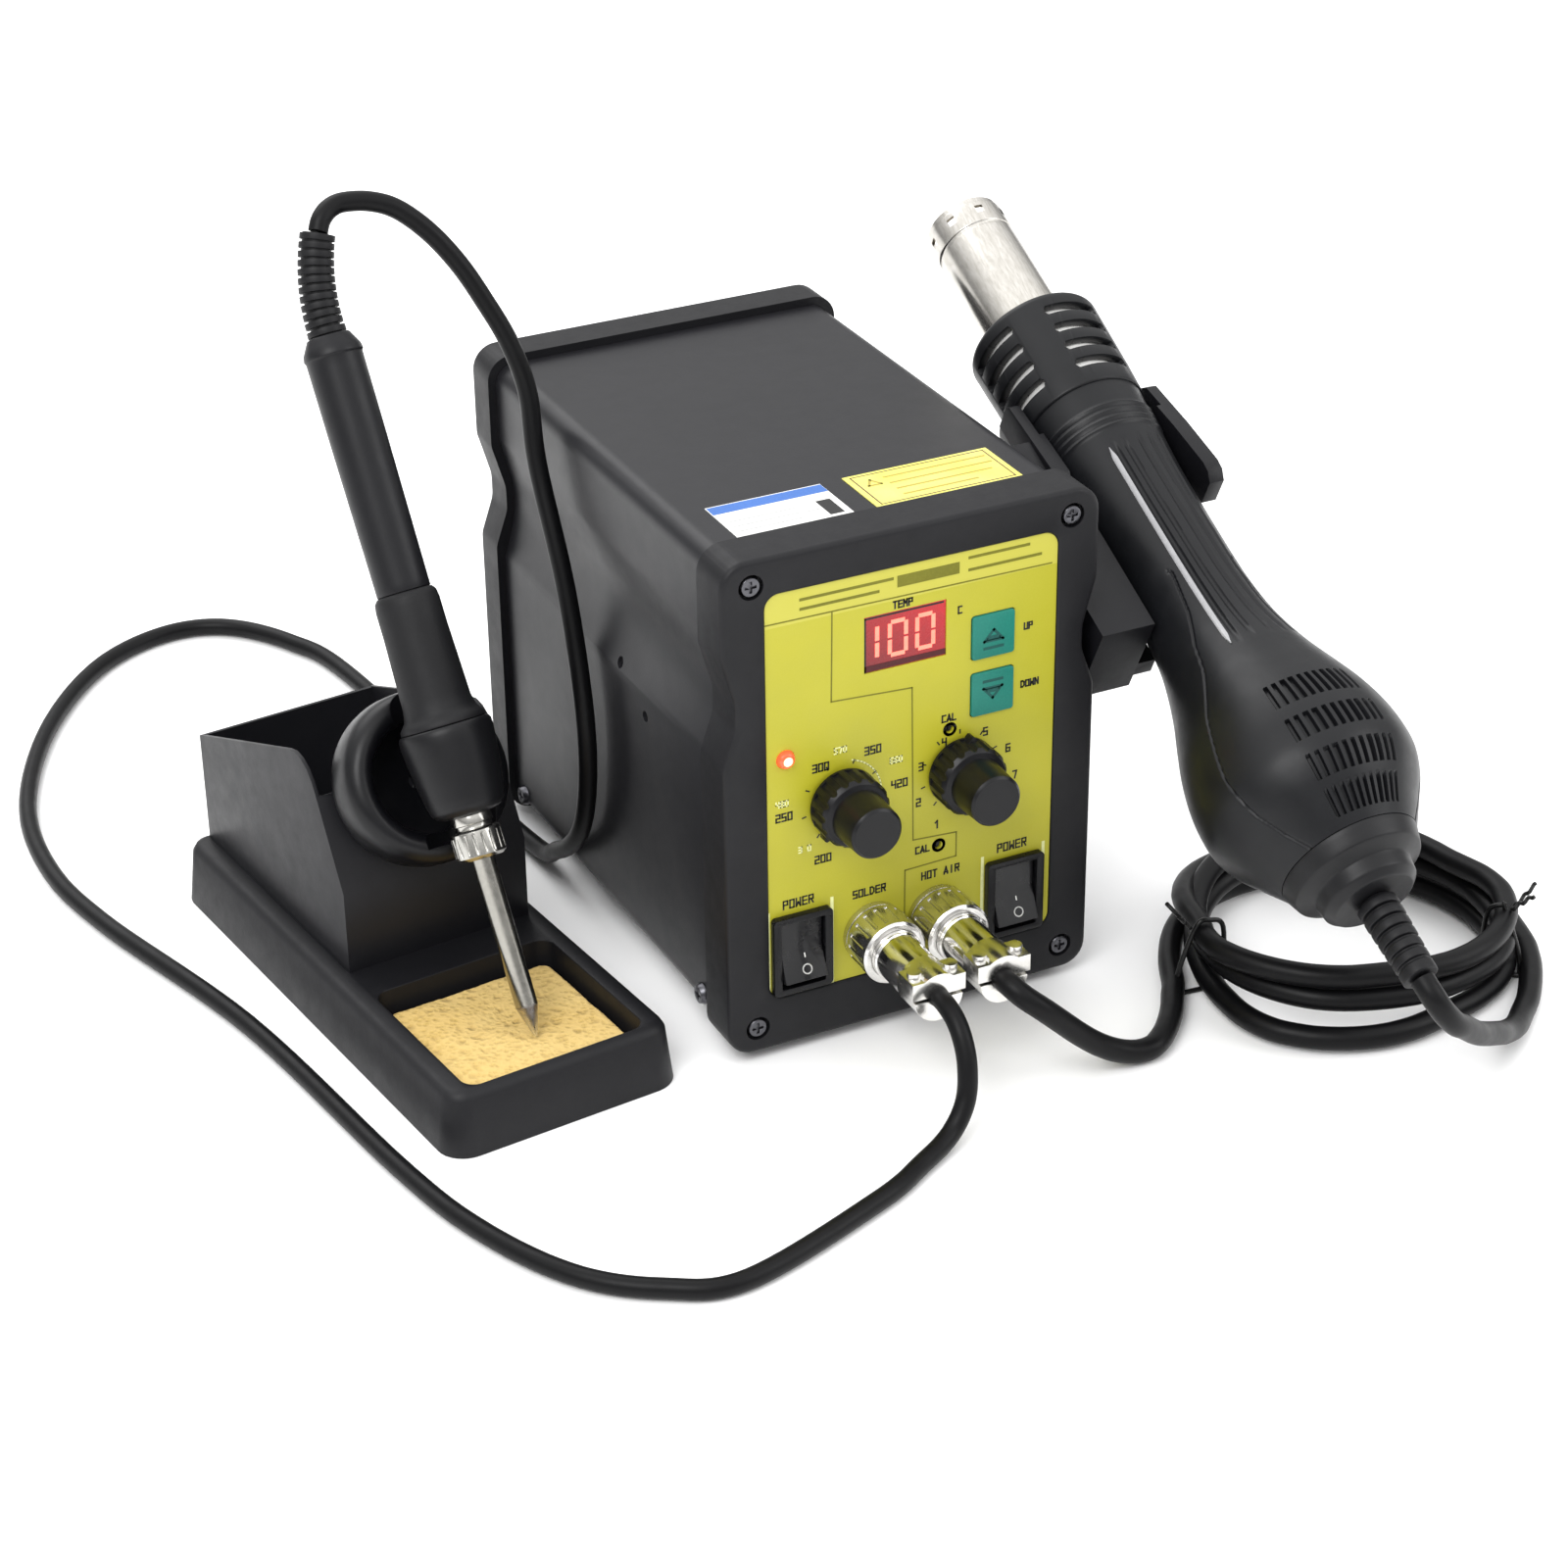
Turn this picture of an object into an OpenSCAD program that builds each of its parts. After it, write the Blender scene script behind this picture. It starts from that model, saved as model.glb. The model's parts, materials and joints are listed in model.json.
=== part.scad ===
// Hot air and soldering iron station: control unit, gun on its bracket, iron on its stand.
// Millimetres, +Z up, the floor at z = 0, the control panel faces -Y.

/* [Control unit] */
// Width over the two bezels
unit_w = 107; // [100:1:116]
// Top of the bezels above the floor
unit_top = 145; // [140:1:150]
// Underside of the bezels above the floor
unit_low = 3; // [2:0.5:6]
// Back face of the rear bezel
unit_d = 161; // [150:1:180]
// Depth of the front bezel
front_depth = 14; // [12:1:16]
// Depth of the rear bezel
rear_depth = 12; // [11:1:16]
// Outer corner radius of the bezels
corner_r = 7; // [5:0.5:9]
// Step from the bezels down to the sheet case
case_step = 2.4; // [1.5:0.1:3]
// Sheet thickness of the case
sheet = 1.2; // [0.8:0.1:1.5]
// Depth of the finger groove along both sides
groove_d = 3.7; // [2:0.1:4]

/* [Front panel] */
// Width of the control panel
panel_w = 83; // [82:0.5:85]
// Height of the control panel
panel_h = 116.5; // [114:0.5:120]
// Height of the panel's centre above the floor
panel_z = 76.2; // [74:0.1:78]
// Diameter of the knob skirts
knob_d = 19.4; // [16:0.1:20]
// How far the knobs stand out from the bezel face
knob_out = 19.3; // [17:0.1:21]
// Side of the square push buttons
button_side = 12.2; // [10:0.1:13]
// Radius of the threaded sockets for the plugs
socket_r = 7.5; // [7:0.1:7.8]
// Radius of the coupling rings on the plugs
ring_r = 9; // [8.6:0.1:9.3]

/* [Gun] */
// Downward slope of the gun from nozzle to tail
gun_tilt = 26.4; // [20:0.1:32]
// Height of the nozzle's tip
nozzle_z = 164.3; // [155:0.1:175]
// Outer radius of the nozzle pipe
pipe_r = 11.5; // [10:0.1:12.5]
// Wall of the gun's two shells
shell_wall = 2.2; // [1.6:0.1:2.6]
// Radius of the fan
fan_r = 24; // [20:0.5:24.5]

/* [Stand] */
// Width of the stand's base
base_w = 68.4; // [66:0.1:72]
// Length of the stand's base
base_l = 162; // [160:1:170]
// Height of the stand's base
base_h = 18; // [16:0.5:20]
// Turn of the whole stand beside the unit
stand_yaw = 6.5; // [0:0.5:7]
// Outer radius of the round holder
cup_r = 23; // [21:0.5:24]
// Radius of the holder's hollow
cup_hole_r = 15; // [14:0.5:16]

/* [Iron] */
// Slope of the iron above the floor
iron_slope = 60; // [58:0.5:62]
// Height of the iron's tip above the floor
tip_z = 13.7; // [13.5:0.1:16]
// Radius of the barrel
barrel_r = 3; // [2.8:0.1:3.2]

/* [Cords] */
// Diameter of the iron's cord
iron_cord_d = 5.3; // [4:0.1:5.4]
// Diameter of the gun's cord
air_cord_d = 6.4; // [6:0.1:7]

/* [Hidden] */
$fn = 64;
origin_x = -18.1;
origin_y = 28.7;
half_w = unit_w / 2;
case_half = half_w - case_step;
case_low = unit_low + case_step;
case_top = unit_top - case_step;
rear_y = unit_d - rear_depth;
panel_front = 0.6;
panel_back = 2.4;
board_y = 16;
temp_at = [-20.3, 71.9];
air_at = [13.9, 72.4];
up_at = [23, 109.3];
down_at = [23, 93];
led_at = [-36.2, 87.8];
cal_at = [[10.5, 85.1], [7.4, 51.4]];
iron_plug_at = [-11.4, 30.5];
air_plug_at = [7.5, 30.5];
iron_switch_at = [-32.5, 30.7];
air_switch_at = [30.4, 30.6];
wall_holes = [[53.7, 78.6], [70.4, 86.9]];
gun_x = 87;
nozzle_y = 134.2;
stand_x = -134.5;
stand_y = -7.5;
iron_u = 37;
tip_v = 21.8;
cup_at = [33.5, 65, 72.5];
cup_lean = 33;
coil_at = [119.5, -27.5];
coil_r = 43;
gun_outline = [[77.4, 17.5], [85, 17.1], [93, 16.7], [105, 16], [118, 15.7], [138, 15.6],
  [148, 16], [157, 17], [165, 18.8], [173, 21.2], [181, 24.2], [189, 27], [197, 28.9], [204, 29.6],
  [210, 29.3], [216, 27.2], [222, 23.6], [229, 19.2]];
iron_route = [[-11.4, -30, 30.5], [-11.4, -40, 30.2], [-11.5, -47, 27], [-12, -52, 20],
  [-14, -55, 11], [-20, -58, 4.5], [-31, -64, 3], [-48, -73, 3], [-90, -87, 3],
  [-110, -81, 3], [-127, -66, 3], [-140, -39, 3], [-148, -5, 3], [-160, 74, 3],
  [-179, 143, 3], [-184, 180, 3], [-179, 218, 3], [-161, 260, 3], [-136, 293, 3],
  [-111, 307, 3], [-90, 304, 3], [-74, 283, 3], [-65, 250, 3],
  [-56.5, 135, 3.5], [-56, 107, 12], [-55.5, 89, 30], [-55.5, 84, 60], [-56, 92, 98],
  [-57, 106.5, 131], [-57, 111, 150], [-60.6, 113.3, 164.2], [-66, 116, 176.2],
  [-71.5, 118.8, 186.5], [-78.2, 121.5, 195.5], [-85.5, 124, 202], [-92.3, 125.4, 204.8],
  [-99.2, 126.1, 205.5], [-103.2, 125.5, 204.7], [-106.1, 124.1, 202.7], [-107.6, 122.8, 200.1]];
air_route_a = [[7.5, -30, 30.5], [7.6, -38.5, 30.2], [9.8, -42.5, 28], [14, -45, 24.5],
  [18.7, -45.5, 20], [24.9, -45.5, 14], [30.9, -45.5, 9], [36.8, -45.7, 5.5], [42.4, -46, 3.8],
  [47, -45.6, 3.6], [51, -43.2, 3.6], [55.6, -39, 3.6], [60.7, -33, 3.6], [65, -26.5, 3.6],
  [68, -22, 3.6]];
air_route_b = [[87, -104.6, 45.8], [87.6, -108.4, 43], [90.2, -110, 38.5], [94.5, -109.5, 33.5],
  [99.5, -107, 29.5], [107, -102.5, 23], [114, -98, 18], [121, -93.5, 13.5], [127.5, -88.5, 9],
  [135, -83.5, 5.8], [142, -77, 4], [149, -70.5, 3.6], [157.5, -60, 3.6], [162, -52.5, 3.6],
  [164.5, -47, 3.6]];

function unit(v) = v / norm(v);
function blend_point(a, b, c, d, t) = 0.5 * (2 * b + (c - a) * t + (2 * a - 5 * b + 4 * c - d) * t * t
  + (3 * b - a - 3 * c + d) * t * t * t);
function smooth(p, n) = let (m = len(p) - 1) concat([for (i = [0:m - 1]) for (k = [0:n - 1])
  blend_point(p[max(i - 1, 0)], p[i], p[i + 1], p[min(i + 2, m)], k / n)], [p[m]]);
function directions(p) = let (m = len(p) - 1)
  [for (i = [0:m]) unit(p[min(i + 1, m)] - p[max(i - 1, 0)])];
function across(v, t) = unit(v - (v * t) * t);

// Control unit

module placed() {
  translate([-origin_x, -origin_y, 0]) children();
}

module slab(y0, y1) {
  translate([0, y1, 0]) rotate([90, 0, 0]) linear_extrude(y1 - y0) children();
}

module facing(at) {
  translate([at[0], 0, at[1]]) rotate([90, 0, 0]) children();
}

module rounded(w, h, r) {
  square([w - 2 * r, h], center = true);
  square([w, h - 2 * r], center = true);
  for (x = [-1, 1])
    for (y = [-1, 1])
      translate([x * (w / 2 - r), y * (h / 2 - r)]) circle(r);
}

module outline(half, low, top, r, groove = [[1, 122.5], [-groove_d, 106], [-groove_d, 99], [1, 85.7]]) {
  difference() {
    translate([0, (low + top) / 2]) rounded(2 * half, top - low, r);
    for (side = [0, 1])
      mirror([side, 0]) translate([half, 0]) polygon(groove);
  }
}

module round_box(w, h, r, low, high) {
  translate([0, 0, low]) linear_extrude(high - low) rounded(w, h, r);
}

module rod(r, low, high) {
  translate([0, 0, low]) cylinder(r = r, h = high - low);
}

module brick(x0, x1, y0, y1, z0, z1) {
  translate([x0, y0, z0]) cube([x1 - x0, y1 - y0, z1 - z0]);
}

case_groove = [[1, 124], [0, 121.4], [-0.7, 118.4], [-2, 113], [-3.1, 108.6], [-3.6, 105.4],
  [-3.7, 102], [-3.5, 98.6], [-2.9, 95.2], [-1.9, 91], [-0.8, 87.4], [0, 85], [1, 82.6]];

module case_shell() {
  color("dimgray") placed() difference() {
    slab(front_depth, rear_y) difference() {
      outline(case_half, case_low, case_top, corner_r - 1.5, case_groove);
      outline(case_half - sheet, case_low + sheet, case_top - sheet, corner_r - 1.5 - sheet,
        case_groove);
      translate([-44, case_low - 1]) square([88, sheet + 2]);
    }
    for (h = wall_holes)
      translate([0, h[0], h[1]]) rotate([0, 90, 0]) cylinder(r = 1.6, h = 200, center = true);
    for (y = [21.6, 142.9])
      translate([0, y, 10.8]) rotate([0, 90, 0]) cylinder(r = 1.6, h = 200, center = true);
  }
}

module base_plate() {
  color("gray") placed() difference() {
    union() {
      brick(-43.9, 43.9, front_depth, rear_y, case_low, case_low + sheet);
      brick(-48, 48, front_depth + 1, rear_y - 1, case_low + sheet, case_low + 2 * sheet);
      for (side = [-1, 1])
        for (y = [21.6, 142.9])
          translate([side * 45.9 - 4, y - 5, case_low + 2 * sheet]) cube([8, 10, 7]);
    }
    for (y = [21.6, 142.9])
      translate([0, y, 10.8]) rotate([0, 90, 0]) cylinder(r = 1.45, h = 200, center = true);
    for (k = [0:5])
      brick(-14, 14, 48 + 9 * k, 51 + 9 * k, 0, 10);
    for (x = [-36, 36])
      for (y = [28, 135])
        translate([x, y, 0]) cylinder(r = 1.8, h = 20);
  }
}

module bezel(depth) {
  difference() {
    union() {
      difference() {
        slab(0, depth) outline(half_w, unit_low, unit_top, corner_r);
        slab(4, depth + 1) outline(half_w - 3.4, unit_low + 3.4, unit_top - 3.4, corner_r - 3.4);
      }
      for (x = [-45.3, 45.3])
        for (z = [10.4, 138])
          facing([x, z]) rod(4.2, -depth, -3);
    }
    slab(-1, panel_back) translate([0, panel_z]) rounded(panel_w + 0.2, panel_h + 0.2, 4);
    slab(-1, 5) translate([0, panel_z]) rounded(80.8, 113.4, 1.5);
    for (x = [-45.3, 45.3])
      for (z = [10.4, 138]) {
        facing([x, z]) rod(1.35, -depth + 2, 1);
        facing([x, z]) rod(3.4, -1.6, 1);
      }
  }
}

module front_bezel() {
  color("#2a2a2e") placed() bezel(front_depth);
}

module rear_bezel() {
  color("#2a2a2e") placed() translate([0, unit_d, 0]) mirror([0, 1, 0]) bezel(rear_depth);
}

module front_panel() {
  color("#c5c52e") placed() difference() {
    slab(panel_front, panel_back) translate([0, panel_z]) rounded(panel_w, panel_h, 4);
    brick(-13.9, 9.5, -1, 5, 106.5, 122.3);
    for (at = [up_at, down_at])
      facing(at) round_box(button_side + 0.5, button_side + 0.5, 1, -9, 9);
    for (at = [temp_at, air_at])
      facing(at) rod(3.6, -9, 9);
    for (at = [iron_plug_at, air_plug_at])
      facing(at) rod(socket_r + 0.1, -9, 9);
    for (at = [iron_switch_at, air_switch_at])
      facing(at) round_box(14.8, 22, 0.8, -9, 9);
    for (at = cal_at)
      facing(at) rod(1.4, -9, 9);
    facing(led_at) rod(2.6, -9, 9);
  }
}

module rear_panel() {
  color("#c9c9c4") placed() difference() {
    slab(unit_d - panel_back, unit_d - panel_front) translate([0, panel_z])
      rounded(panel_w, panel_h, 4);
    brick(-14.1, 14.1, unit_d - 9, unit_d + 9, 26, 56);
    for (k = [0:7])
      brick(-28, 28, unit_d - 9, unit_d + 9, 78 + 6 * k, 80.5 + 6 * k);
  }
}

module case_screw(length) {
  difference() {
    union() {
      rod(1.35, -length, 0.5);
      cylinder(r1 = 3.1, r2 = 2.4, h = 1.5);
    }
    brick(-0.4, 0.4, -1.6, 1.6, 0.7, 3);
    brick(-1.6, 1.6, -0.4, 0.4, 0.7, 3);
  }
}

module case_screws() {
  color("silver") placed() {
    for (x = [-45.3, 45.3])
      for (z = [10.4, 138]) {
        facing([x, z]) translate([0, 0, -1.6]) case_screw(9);
        translate([x, unit_d - 1.6, z]) rotate([-90, 0, 0]) case_screw(7);
      }
    for (side = [0, 1])
      mirror([side, 0, 0])
        for (y = [21.6, 142.9])
          translate([case_half, y, 10.8]) rotate([0, 90, 0]) case_screw(8);
  }
}

module rubber_feet() {
  color("#1c1c1c") placed()
    for (x = [-36, 36])
      for (y = [28, 135])
        translate([x, y, 0]) {
          cylinder(r1 = 6, r2 = 7, h = case_low);
          cylinder(r = 1.75, h = case_low + 4);
          translate([0, 0, case_low + 2 * sheet]) cylinder(r1 = 2.8, r2 = 1.8, h = 2);
        }
}

module top_labels() {
  color("white") placed() {
    brick(-40, -7.5, 18.4, 37.5, case_top, case_top + 0.2);
    brick(-1, 41, 18, 38, case_top, case_top + 0.2);
  }
}

module display_window() {
  color("#5a0d0d") placed() {
    brick(-13.8, 9.4, 0.9, 2.3, 106.6, 122.2);
  }
}

module segment(x, z, w, h) {
  brick(x - w / 2, x + w / 2, 2.45, 3, z - h / 2, z + h / 2);
}

module digit(x, lit) {
  for (k = [-1, 0, 1])
    if (lit[k + 1] == 1)
      segment(x, 114.4 + 4.4 * k, 3, 0.9);
  for (k = [0:3])
    if (lit[k + 3] == 1)
      segment(x + 2.1 * sign(k % 2 - 0.5), 114.4 + 2.2 * (k > 1 ? 1 : -1), 0.9, 3.2);
}

module display_module() {
  color("#a01010") placed() {
    brick(-13.5, 9.1, 3, 13, 106.9, 121.9);
    digit(-9.4, [0, 0, 0, 0, 1, 0, 1]);
    digit(-2.2, [1, 0, 1, 1, 1, 1, 1]);
    digit(5, [1, 0, 1, 1, 1, 1, 1]);
    for (x = [-11, 6])
      brick(x, x + 1, 13, board_y, 109, 120);
  }
}

module control_board() {
  color("#1f5c33") placed() {
    difference() {
      brick(-40, 40, board_y, board_y + 1.6, 46, 126);
      for (at = [temp_at, air_at])
        facing(at) rod(3.6, -30, 0);
    }
    for (at = [up_at, down_at]) {
      facing(at) round_box(6, 6, 0.5, -board_y, -11);
      facing(at) rod(1.7, -11.5, -9.8);
    }
    brick(-30, -8, board_y + 1.6, board_y + 5, 92, 104);
    brick(-34, -20, board_y + 1.6, board_y + 9, 112, 122);
  }
}

module cal_trimmers() {
  color("#d8d0b0") placed()
    for (at = cal_at) {
      facing(at) difference() {
        rod(1.1, -6, -1.2);
        brick(-0.25, 0.25, -2, 2, -1.8, 0);
      }
      facing(at) round_box(6, 6, 0.5, -board_y, -5);
    }
}

module transformer_core() {
  color("#3b3b40") placed() difference() {
    brick(-30, 30, 78, 122, case_low + 2 * sheet, 60);
    brick(-20, -10, 70, 130, 20, 50);
    brick(10, 20, 70, 130, 20, 50);
  }
}

module transformer_coil() {
  color("#b36a2a") placed() difference() {
    brick(-19.9, 19.9, 68, 132, 20.1, 49.9);
    brick(-10.1, 10.1, 77.9, 122.1, 10, 60);
    brick(-30, -19.8, 60, 140, 10, 60);
  }
}

module potentiometers() {
  color("#8a8f96") placed()
    for (at = [temp_at, air_at])
      facing(at) difference() {
        union() {
          rod(8, -13, -4);
          rod(3.5, -5, 3);
          rod(5.2, -panel_front, 1.2);
          brick(-6, 6, -12, -6, -board_y, -11);
        }
        rod(3.05, -12, 9);
      }
}

module shaft() {
  difference() {
    rod(3, -11.8, 12);
    brick(-0.4, 0.4, -4, 4, 4, 13);
  }
}

module temp_shaft() {
  color("silver") placed() facing(temp_at) shaft();
}

module air_shaft() {
  color("silver") placed() facing(air_at) shaft();
}

module knob() {
  difference() {
    rotate_extrude() polygon([[3, 3.5], [7.6, 3.5], [8.2, 0.6], [knob_d / 2, 0.6],
      [knob_d / 2, 7.2], [knob_d / 2 - 0.9, 8.4], [7.5, 8.8], [7.1, knob_out - 0.7],
      [6.4, knob_out], [0, knob_out], [0, 12.1], [3, 12.1]]);
    for (k = [0:15])
      rotate([0, 0, 22.5 * (k + 0.5)]) translate([knob_d / 2 + 0.7, 0, 1.4]) cylinder(r = 1.3, h = 9);
  }
  translate([0, 0, 0.6]) linear_extrude(3)
    polygon([[9, -1.5], [knob_d / 2 + 1.1, -0.3], [knob_d / 2 + 1.1, 0.3], [9, 1.5]]);
}

module temp_knob() {
  color("#303035") placed() facing(temp_at) rotate([0, 0, 232]) knob();
}

module air_knob() {
  color("#303035") placed() facing(air_at) rotate([0, 0, 80]) knob();
}

module push_button() {
  round_box(button_side, button_side, 0.8, -2.4, 0);
  round_box(button_side + 1.8, button_side + 1.8, 1.2, -3.9, -2.7);
  round_box(11, 11, 1.5, -3, -2);
  round_box(4, 4, 0.6, -9, -3.5);
}

module up_button() {
  color("#2f8f70") placed() facing(up_at) push_button();
}

module down_button() {
  color("#2f8f70") placed() facing(down_at) push_button();
}

module switch_frame() {
  difference() {
    union() {
      round_box(17, 23, 1.2, -panel_front, 1.6);
      round_box(14.6, 21.8, 0.8, -17, -panel_front);
    }
    round_box(12.6, 19.6, 0.4, -15, 3);
    translate([0, 0, -3.6]) rotate([0, 90, 0]) cylinder(r = 1.55, h = 14.2, center = true);
  }
}

module rocker() {
  translate([0, 0, -3.6]) {
    rotate([12, 0, 0]) rotate([90, 0, 90]) translate([0, 0, -6]) linear_extrude(12)
      polygon([[-8.6, 5.4], [0, 3.5], [8.6, 5.4], [8.6, 2.4], [3, -4], [-3, -4], [-8.6, 2.4]]);
    rotate([0, 90, 0]) cylinder(r = 1.5, h = 13.8, center = true);
  }
}

module iron_switch_frame() {
  color("#17171a") placed() facing(iron_switch_at) switch_frame();
}

module air_switch_frame() {
  color("#17171a") placed() facing(air_switch_at) switch_frame();
}

module iron_rocker() {
  color("#24242a") placed() facing(iron_switch_at) mirror([0, 1, 0]) rocker();
}

module air_rocker() {
  color("#24242a") placed() facing(air_switch_at) mirror([0, 1, 0]) rocker();
}

module status_led() {
  color("#ff4422") placed() facing(led_at)
    rotate_extrude() polygon([[0, -8], [2.5, -8], [2.5, -3.4], [3, -3.4], [3, -2.5], [2.5, -2.5],
      [2.5, -0.4], [2.2, 0.5], [1.4, 1.1], [0, 1.3]]);
}

module panel_sockets() {
  color("silver") placed()
    for (at = [iron_plug_at, air_plug_at])
      facing(at) {
        difference() {
          rod(socket_r, -10, 6.2);
          rod(6.2, 1, 7);
        }
        rod(8.7, -panel_front, 1.4);
        rotate([0, 0, 30]) translate([0, 0, -6]) cylinder(r = 9.3, h = 6 - panel_back, $fn = 6);
        for (k = [0:4])
          rotate([0, 0, 72 * k]) translate([3.6, 0, 0]) rod(0.8, 0, 5.5);
      }
}

module plug_shell() {
  rotate_extrude() polygon([[0, 8], [6, 8], [6, 6.4], [socket_r, 6.4], [socket_r, 7.8], [7, 7.8],
    [7, 14], [6.5, 14.4], [6.5, 26], [0, 26]]);
}

module plug_ring() {
  difference() {
    rotate_extrude() polygon([[socket_r + 0.1, 1.6], [ring_r - 0.4, 1.6], [ring_r, 2.1],
      [ring_r, 11.8], [ring_r - 0.6, 12.5], [7.1, 12.5], [7.1, 8], [socket_r + 0.1, 8]]);
    for (k = [0:17])
      rotate([0, 0, 20 * k]) translate([ring_r + 0.2, 0, 3.4]) cylinder(r = 0.55, h = 7, $fn = 24);
  }
}

module iron_plug_shell() {
  color("silver") placed() facing(iron_plug_at) plug_shell();
}

module air_plug_shell() {
  color("silver") placed() facing(air_plug_at) plug_shell();
}

module iron_plug_ring() {
  color("silver") placed() facing(iron_plug_at) plug_ring();
}

module air_plug_ring() {
  color("silver") placed() facing(air_plug_at) plug_ring();
}

module cable_clamp(hole_r) {
  difference() {
    union() {
      rod(6.8, 26, 36);
      brick(-7.6, 7.6, 0.6, 5.4, 28, 36);
      for (x = [-5.2, 5.2])
        translate([x, 5.3, 32]) rotate([-90, 0, 0]) cylinder(r = 1.9, h = 1.6);
    }
    rod(hole_r, 30, 37);
    brick(-9, 9, -0.4, 0.6, 28, 37);
  }
}

module cable_clamps() {
  color("#c8c8cc") placed() {
    facing(iron_plug_at) cable_clamp(iron_cord_d / 2 + 0.05);
    facing(air_plug_at) cable_clamp(air_cord_d / 2 + 0.05);
  }
}

module mains_inlet() {
  color("#1a1a1c") placed() translate([0, unit_d - panel_front, 41]) rotate([-90, 0, 0]) {
    difference() {
      union() {
        round_box(31, 33, 2, 0, 2);
        round_box(28, 29.8, 1, -22, 0);
      }
      translate([0, 4, 0]) round_box(24, 16, 2.5, -15, 5);
      brick(-9.05, 9.05, -12.05, -4.95, -21, 5);
    }
    for (x = [-7, 7])
      brick(x - 1, x + 1, 2.5, 6.5, -16, -3);
    brick(-1, 1, 6, 10, -16, -1);
  }
}

module fuse_drawer() {
  color("#26262a") placed() translate([0, unit_d - panel_front, 41]) rotate([-90, 0, 0])
    difference() {
      union() {
        brick(-9, 9, -12, -5, -20, 2.1);
        brick(-9, 9, -12, -5, 2.1, 3.2);
      }
      brick(-7, 7, -10.5, -6.5, -18, -1);
    }
}

// Gun and its bracket

module on_gun() {
  placed() translate([gun_x, nozzle_y, nozzle_z]) rotate([90 + gun_tilt, 0, 0]) children();
}

module ear(low, high) {
  translate([low, 0, 0]) rotate([90, 0, 90]) linear_extrude(high - low) children();
}

module gun_bracket() {
  color("#1d1d20") difference() {
    union() {
      on_gun() difference() {
        union() {
          difference() {
            rod(22, 70, 100);
            brick(-30, 30, 0, 40, 60, 120);
          }
          ear(-22, -17.4) polygon([[-3, 70], [4.6, 70], [6, 71.4], [8.6, 98], [7.4, 100], [-3, 100]]);
          ear(17.4, 22) polygon([[-6, 72.5], [4, 72.5], [7, 75], [10.5, 92], [13, 108], [12.6, 111],
            [10.4, 113.4], [2.4, 113.4], [-1, 110], [-6, 100]]);
          brick(case_half - gun_x, -17.5, -20, 6, 84, 150);
          brick(-18, -8, -22, -17, 84, 146);
        }
        rod(18.9, 60, 83);
        rod(17.5, 82, 160);
        brick(-17.5, 17.5, 0, 40, 60, 160);
        brick(-18.9, 18.9, 0, 40, 60, 83);
      }
      on_gun() brick(case_half - gun_x, case_half - gun_x + 4, -50, 6, 84, 122);
    }
    placed() brick(40, half_w + 0.3, -20, front_depth + 0.3, 0, 150);
    placed()
      for (h = wall_holes)
        translate([0, h[0], h[1]]) rotate([0, 90, 0]) cylinder(r = 1.6, h = 57);
  }
}

module bracket_screws() {
  color("silver") placed()
    for (h = wall_holes)
      translate([case_half + 4, h[0], h[1]]) rotate([0, 90, 0]) case_screw(8);
}

module nozzle_pipe() {
  color("#b9b4aa") on_gun() difference() {
    rotate_extrude() polygon([[10.4, 0], [pipe_r - 0.3, 0], [pipe_r - 0.3, 2], [pipe_r, 2],
      [pipe_r, 44], [pipe_r - 0.2, 44], [pipe_r - 0.2, 62], [15, 62], [15, 64], [10.4, 64]]);
    for (k = [0:3])
      rotate([0, 0, 45 * k]) brick(-20, 20, -1.2, 1.2, 3.5, 6);
  }
}

module gun_heater() {
  color("#e6dfd0") on_gun() difference() {
    union() {
      rod(9.6, 14, 112);
      rod(10.4, 40, 44);
    }
    for (k = [0:5])
      rotate([0, 0, 60 * k]) translate([5.8, 0, 0]) rod(2, 13, 113);
    rod(1.6, 13, 113);
  }
}

module heat_guard() {
  color("#26262a") on_gun() difference() {
    rotate_extrude() polygon([[pipe_r - 0.15, 45], [18.3, 45], [19.1, 46], [18.2, 77.4],
      [13.4, 77.4], [13.4, 64.05], [15.2, 64.05], [15.2, 61.9], [16.2, 61.9],
      [16.6, 47.5], [pipe_r - 0.15, 47.5]]);
    for (row = [0:3])
      for (turn = [75, 162, 255, 345])
        rotate([0, 0, turn]) brick(14.6, 30, -8.6, 8.6, 49.5 + 6.5 * row, 52.5 + 6.5 * row);
  }
}

module half_shell() {
  rotate_extrude(angle = 180) polygon(concat(gun_outline,
    [for (i = [len(gun_outline) - 1:-1:0]) gun_outline[i] - [0, shell_wall]]) * [[0, 1], [1, 0]]);
}

module gun_vents() {
  for (row = [[188.5, 196], [200.6, 207.3], [211.7, 217.4], [220.5, 226.3]])
    for (k = [-3:2])
      rotate([0, 0, 90 + 10 * (k + 0.5)]) brick(10, 40, -0.8, 0.8, row[0], row[1]);
}

module gun_upper_shell() {
  color("#26262a") on_gun() difference() {
    half_shell();
    gun_vents();
  }
}

module gun_lower_shell() {
  color("#26262a") on_gun() rotate([0, 0, 180]) difference() {
    half_shell();
    gun_vents();
  }
}

module gun_tail() {
  color("#3c3c40") on_gun() rotate_extrude() polygon([[0, 229], [19.2, 229], [17.6, 234],
    [13.5, 236], [13, 240], [11, 242], [0, 242]]);
}

module gun_relief() {
  color("#202022") on_gun() {
    rod(4.1, 242, 265.5);
    for (k = [0:5])
      rod(5.5 - 0.12 * k, 243.2 + 3.3 * k, 245.6 + 3.3 * k);
    rod(4.8, 263, 266);
  }
}

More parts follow.
